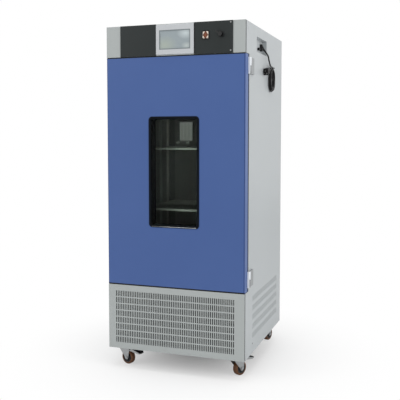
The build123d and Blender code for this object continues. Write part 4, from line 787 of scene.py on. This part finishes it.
def finish_of(group, name, rgb, spread, rough, shader_values, group_values):
    """A material led by a group: two tones, half the spread above and below the colour."""
    material, tree, shader = new_material(name, shader_values)
    node = add_node(tree, "Group", {"Light tone": linear(*[min(255, c + spread / 2) for c in rgb]),
                                    "Dark tone": linear(*[max(0, c - spread / 2) for c in rgb]),
                                    "Rough low": rough[0], "Rough high": rough[1], **group_values},
                    node_tree=group)
    wire(tree, (node, "Colour", shader, "Base Color"), (node, "Roughness", shader, "Roughness"),
         (node, "Normal", shader, "Normal"))
    return material


def coated(name, rgb, spread=6, cloud=3.0, peel_size=900.0, peel_depth=0.08, rough=(0.32, 0.42),
           specular=0.25):
    """A painted or moulded finish: two close tones, an orange peel and a slight sheen."""
    return finish_of(coat, name, rgb, spread, rough, {"Specular IOR Level": specular},
                     {"Cloud size": cloud, "Peel size": peel_size, "Peel depth": peel_depth})


def steel(name, rgb, spread=14, along=(4.0, 4.0, 600.0), rough=(0.25, 0.42), metallic=1.0):
    """A metal finish with a drawn grain along one direction."""
    return finish_of(brushed, name, rgb, spread, rough, {"Metallic": metallic}, {"Along": along})


def clear(name, rgb, roughness=0.02, ior=1.45):
    """Clear glass with a faint tint and the slightest waviness."""
    material, tree, shader = new_material(name, {
        "Base Color": linear(*rgb), "Transmission Weight": 1.0, "Roughness": roughness, "IOR": ior})
    place = add_node(tree, "TexCoord")
    wave = add_node(tree, "TexNoise", {"Scale": 6.0})
    bump = add_node(tree, "Bump", {"Distance": 0.0002, "Strength": 0.05})
    wire(tree, (place, "Object", wave, "Vector"), (wave, "Fac", bump, "Height"),
         (bump, "Normal", shader, "Normal"))
    return material


def dress(material, *names):
    """The material on every slot of these objects, or on a new slot where there is none."""
    for name in names:
        target = nodes.get(name) or bpy.data.objects[name]
        if not target.material_slots:
            target.data.materials.append(material)
        for slot in target.material_slots:
            slot.material = material


print("node groups to make finishes from:", len(bpy.data.node_groups))

# %% [markdown]
# The finishes follow the photo: light grey coat on the body, a little darker on the two
# fronts, a blue door, dark plates, satin stainless steel inside and zinc-plated casters.

# %% finishes of the sheets and the door
dress(coated("door_blue", (72, 98, 154), 8, cloud=2.2), "door_shell")
# a darker blue for the strips at the door's upright edges: painted shade
dress(coated("edge_shade_blue", (52, 72, 124), 6, cloud=4.0), "door_hems")
dress(coated("front_grey", (174, 179, 178), 5), "lower_grille", "control_fascia", "front_frame")
dress(coated("side_grey", (180, 185, 187), 5, peel_depth=0.12), "right_side", "left_side_panel",
      "back_panel", "top_cover", "power_recess")
dress(coated("dark_plate", (38, 43, 43), 5, peel_depth=0.05, rough=(0.30, 0.38)), "control_plates",
      "plate_feet")
# the pan under the machine room is dark: painted shade, so the lowest row of slots reads dark
dress(coated("pan_dark_shade", (44, 46, 47), 6, cloud=20, rough=(0.5, 0.65)), "base_frame")
# the hinge's door leaves are near white and its cabinet leaves grey: a painted highlight and painted shade on
# one metal hinge
dress(coated("hinge_painted_highlight", (226, 230, 234), 6, cloud=30, rough=(0.28, 0.36), specular=0.5),
      "door_hinge_leaves")
dress(coated("hinge_painted_shade", (146, 149, 151), 8, cloud=30, peel_depth=0.1), "cabinet_hinge_leaves")
dress(coated("window_surround", (8, 12, 18), 4, cloud=20, peel_depth=0.04, rough=(0.3, 0.4),
             specular=0.08), "window_frame")
# dark grey on the controller and condenser: partly their own coat, partly painted shade that keeps the slots
# in front of them dark
dress(coated("machine_grey_and_shade", (46, 48, 50), 8, cloud=20, rough=(0.45, 0.6)), "controller", "condenser")
dress(coated("compressor_black", (26, 26, 28), 6, cloud=20, rough=(0.25, 0.4)), "compressor")
print("sheets and door:", len(bpy.data.materials), "materials so far")

# %% finishes of bare metal
dress(steel("stainless_wall", (196, 192, 186), along=(4, 4, 600)), "chamber_liner", "duct_cover",
      "door_liner")
dress(steel("stainless_part", (200, 197, 192), 20, along=(300, 300, 8)), "shelf_uprights",
      "shelf_clips", "circulation_fan", "lower_wire_shelf_wires", "upper_wire_shelf_wires")
dress(steel("shelf_wire", (232, 229, 218), 12, along=(60, 60, 60), rough=(0.2, 0.32), metallic=0.3),
      "lower_wire_shelf", "upper_wire_shelf")
dress(steel("zinc_plate", (164, 166, 167), 26, along=(90, 90, 90), rough=(0.3, 0.5)), "caster_plates",
      *all_four("fork"), "plate_front_left", "plate_front_right", "control_deck", "fan_motors",
      "condenser_fan")
dress(steel("copper_coil", (190, 120, 84), 24, along=(40, 40, 400)), "air_coils")
# bright metal of the window's bottom edge: partly a painted highlight
dress(steel("edge_highlight_metal", (196, 200, 200), 12, along=(300, 40, 40), rough=(0.2, 0.3)), "window_bead")
# the plug's nickel pins are darkened for the shade they lie in: partly painted shade
dress(steel("pin_nickel_in_shade", (120, 120, 118), 12, along=(300, 300, 300), rough=(0.25, 0.4)), "plug_pins")
dress(steel("screw_nickel", (150, 152, 152), 16, along=(200, 200, 200), rough=(0.3, 0.45)), "panel_screws")
print("bare metal:", len(bpy.data.materials), "materials so far")

# %% finishes of plastic, rubber, painted shade, foam and glass
dress(coated("bezel_grey", (196, 199, 202), 4, peel_size=1500, rough=(0.38, 0.48)), "display_bezel")
dress(coated("edge_grey", (124, 132, 134), 5, cloud=40, rough=(0.4, 0.5)), "display_edge")
dress(coated("black_plastic", (24, 25, 27), 6, cloud=60, peel_size=1800, peel_depth=0.15,
             rough=(0.35, 0.48)),
      "switch_bezels", "breaker", "breaker_toggle", "cord_gland", "cord_tie", *all_four("hub"), "fuse_cap")
dress(coated("knob_gloss", (15, 16, 18), 4, cloud=40, peel_depth=0.0, rough=(0.12, 0.2), specular=0.5),
      "selector_lever")
dress(coated("white_plastic", (226, 226, 218), 5, cloud=40, rough=(0.3, 0.4)), "duct_fittings")
dress(coated("tread_rubber", (20, 20, 22), 6, cloud=60, peel_size=1500, peel_depth=0.3, rough=(0.55, 0.7)),
      "pad_front_left", "pad_front_right")
# one dark rubber finish for the door's real rubber seal and for the strips that paint shadow in the joints
# and gaps
dress(coated("rubber_seal_and_painted_shadows", (24, 24, 27), 6, cloud=40, peel_size=700, rough=(0.55, 0.7)), "door_gasket",
      "joint_seals", "seal_lip", "display_gasket")
dress(coated("lead_jacket", (16, 16, 18), 6, cloud=90, peel_size=1500, peel_depth=0.2, rough=(0.4, 0.55)),
      "mains_lead", "moulded_plug")
dress(coated("wheel_brown", (104, 70, 47), 16, cloud=60, peel_size=600, peel_depth=0.2, rough=(0.35, 0.5)),
      *all_four("tread"))
# near black for the sheet behind the slots: painted shade
dress(coated("painted_shade_black", (30, 30, 31), 10, cloud=90, peel_size=700, peel_depth=0.5, rough=(0.85, 0.95)),
      "back_felt")
dress(coated("foam", (214, 200, 150), 18, cloud=40, peel_size=500, peel_depth=0.6, rough=(0.8, 0.95)),
      "body_insulation", "door_insulation")
dress(coated("lamp_white", (236, 236, 228), 4, rough=(0.2, 0.3)), "lamp_tubes")
dress(clear("window_glass", (232, 238, 236), ior=1.12), "window_panes", "lamp_guards")
print("plastic, rubber and glass:", len(bpy.data.materials), "materials so far")

# %% [markdown]
# Two small faces carry more than one tone. The rocker's lens is amber in a diamond; its pale
# corners are painted highlights of a clear cap over it, and its lighter amber middle is a slight
# painted highlight. The display's glass is grey, with painted reflections of a room: paler at its
# right corners and faintly green at its lower left. Both are masks worked out from the distance
# to a point on the piece, so they stay put from every side.

# %% the mask group
mask, mask_in, mask_out = new_group(
    "soft_patch", {"Middle": (0.0, 0.0, 0.0), "Size": (0.01, 0.01, 0.01), "Edge from": 0.9, "Edge to": 1.1,
                   "Diamond": 0.0}, {"Mask": "Float"})
place = add_node(mask, "TexCoord")
from_middle = add_node(mask, "VectorMath", operation="SUBTRACT")
sized = add_node(mask, "VectorMath", operation="DIVIDE")
whole = add_node(mask, "VectorMath", operation="ABSOLUTE")
summed = add_node(mask, "VectorMath", {1: (1, 1, 1)}, operation="DOT_PRODUCT")
radial = add_node(mask, "VectorMath", operation="LENGTH")
choose = add_node(mask, "Mix")
soft = add_node(mask, "MapRange", {"To Min": 1.0, "To Max": 0.0})
wire(mask, (place, "Object", from_middle, 0), (mask_in, "Middle", from_middle, 1),
     (from_middle, "Vector", sized, 0), (mask_in, "Size", sized, 1), (sized, "Vector", whole, 0),
     (whole, "Vector", summed, 0), (sized, "Vector", radial, 0), (mask_in, "Diamond", choose, "Factor"),
     (radial, "Value", choose, "A"), (summed, "Value", choose, "B"), (choose, "Result", soft, "Value"),
     (mask_in, "Edge from", soft, "From Min"), (mask_in, "Edge to", soft, "From Max"),
     (soft, "Result", mask_out, "Mask"))
print("group", mask.name)


# %% rocker lens and display glass, with painted highlights and painted reflections
def patched(name, base, patches, rough, specular):
    """A finish with one tone laid over another inside each patch's mask."""
    material = coated(name, base, 5, cloud=60, peel_depth=0.0, rough=rough, specular=specular)
    tree = material.node_tree
    shader = tree.nodes["Principled BSDF"]
    under = (shader.inputs["Base Color"].links[0].from_node, "Colour")
    for rgb, middle, size, edge, diamond in patches:
        patch = add_node(tree, "Group", {"Middle": middle, "Size": size, "Edge from": edge[0],
                                         "Edge to": edge[1], "Diamond": diamond}, node_tree=mask)
        over = add_node(tree, "Mix", {"B": linear(*rgb)}, data_type="RGBA")
        wire(tree, (*under, over, "A"), (patch, "Mask", over, "Factor"))
        under = (over, "Result")
    wire(tree, (*under, shader, "Base Color"))
    return material


any_depth = 1000.0      # a patch this deep takes no notice of how far back a point lies
lo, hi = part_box("rocker")
middle = tuple((lo + hi) / 2)
# the pale base and the lighter middle are painted highlights; the amber diamond is the lens
dress(patched("rocker_lens_and_highlights", (228, 214, 200),
              [((98, 48, 24), middle, (0.0158, any_depth, 0.0220), (0.86, 1.0), 1.0),
               ((122, 68, 40), middle, (0.0060, any_depth, 0.0090), (0.5, 1.3), 0.0)],
              (0.12, 0.2), 0.4), "rocker")
lo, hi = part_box("display_screen")
fading = (0.0, 1.4)
# the pale and greenish patches are painted reflections of a room on the grey glass
dress(patched("display_painted_reflections", (156, 166, 170),
              [((202, 212, 214), (hi.x - 0.020, lo.y, hi.z - 0.014), (0.034, any_depth, 0.022), fading, 0.0),
               ((172, 181, 171), (lo.x + 0.026, lo.y, lo.z + 0.018), (0.050, any_depth, 0.034), fading, 0.0),
               ((190, 198, 196), (hi.x - 0.016, lo.y, lo.z + 0.012), (0.020, any_depth, 0.013), fading, 0.0)],
              (0.2, 0.3), 0.2), "display_screen")
print("materials:", len(bpy.data.materials))

# %% [markdown]
# A product photo is lit softly from all round, a little more from the right and from
# above. Large area lamps do that, and the world fills the shadows. Window glass stops a
# lamp's rays in this renderer, so a small lamp inside stands for the daylight that falls
# through the window. Light linking gives it to the air outlet alone, because on the satin
# walls it would leave a hot spot. The white background is only what the camera, mirrors and
# glass see, so it puts no extra light on the paint.

# %% the floor
floor_mesh = bpy.data.meshes.new("floor")
floor_mesh.from_pydata([(-9, -9, 0), (9, -9, 0), (9, 9, 0), (-9, 9, 0)], [], [(0, 1, 2, 3)])
into_scene("floor", floor_mesh)
floor_finish, tree, shader = new_material("floor_white", {
    "Base Color": (0.93, 0.93, 0.93, 1), "Roughness": 0.9, "Specular IOR Level": 0.1})
spot = add_node(tree, "TexCoord")
reach = add_node(tree, "VectorMath", operation="LENGTH")
fade = add_node(tree, "MapRange", {"From Min": -0.35, "From Max": 1.15}, interpolation_type="SMOOTHSTEP")
path = add_node(tree, "LightPath")
far = add_node(tree, "Math", operation="MULTIPLY")
white = add_node(tree, "Emission")
blend = add_node(tree, "MixShader")
wire(tree, (spot, "Object", reach, 0), (reach, "Value", fade, "Value"), (fade, "Result", far, 0),
     (path, "Is Camera Ray", far, 1), (far, "Value", blend, "Fac"), (shader, "BSDF", blend, 1),
     (white, "Emission", blend, 2), (blend, "Shader", tree.nodes["Material Output"], "Surface"))
floor_mesh.materials.append(floor_finish)
print("floor laid")


# %% the lamps
def new_lamp(name, kind, place, target, **settings):
    """A lamp at a place, turned so that it looks at a target."""
    data = bpy.data.lights.new(name, kind)
    for setting, value in settings.items():
        setattr(data, setting, value)
    lamp = into_scene(name, data)
    lamp.location = place
    lamp.rotation_euler = (Vector(target) - Vector(place)).to_track_quat("-Z", "Y").to_euler()
    return lamp


for name, place, target, size, power in (
        ("right_lamp", (4.6, -1.4, 2.8), (0, 0, 0.9), 2.6, 72),
        ("front_lamp", (-4.2, -3.6, 3.4), (0, 0, 1.0), 2.4, 78),
        ("top_lamp", (0.3, -0.6, 4.8), (0, 0, 1.0), 3.0, 70)):
    new_lamp(name, "AREA", place, target, shape="SQUARE", size=size, energy=power)
lo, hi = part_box("duct_fittings")
outlet = (lo + hi) / 2
inside_lamp = new_lamp("inside_lamp", "SPOT", outlet + Vector((-0.030, -0.300, 0.040)), outlet, energy=0.75,
                       spot_size=math.radians(50), spot_blend=0.5, shadow_soft_size=0.02)
air_outlet = bpy.data.collections.new("air_outlet")
air_outlet.objects.link(nodes["duct_fittings"])
inside_lamp.light_linking.receiver_collection = air_outlet
print("lamps hung:", len(bpy.data.lights))

# %% the world
world = bpy.data.worlds.new("studio")
bpy.context.scene.world = world
world.use_nodes = True
tree = world.node_tree
path = add_node(tree, "LightPath")
fill = tree.nodes["Background"]
fill.inputs["Color"].default_value = (1, 1, 1, 1)
fill.inputs["Strength"].default_value = 0.55
seen = add_node(tree, "Background", {"Color": (1, 1, 1, 1), "Strength": 1.0})
sees_white = (path, "Is Camera Ray")
for ray in ("Is Glossy Ray", "Is Transmission Ray"):
    either = add_node(tree, "Math", operation="MAXIMUM")
    wire(tree, (*sees_white, either, 0), (path, ray, either, 1))
    sees_white = (either, "Value")
mixed = add_node(tree, "MixShader")
wire(tree, (*sees_white, mixed, "Fac"), (fill, "Background", mixed, 1), (seen, "Background", mixed, 2),
     (mixed, "Shader", tree.nodes["World Output"], "Surface"))
bpy.context.scene.view_settings.view_transform = "Standard"
print("world set")
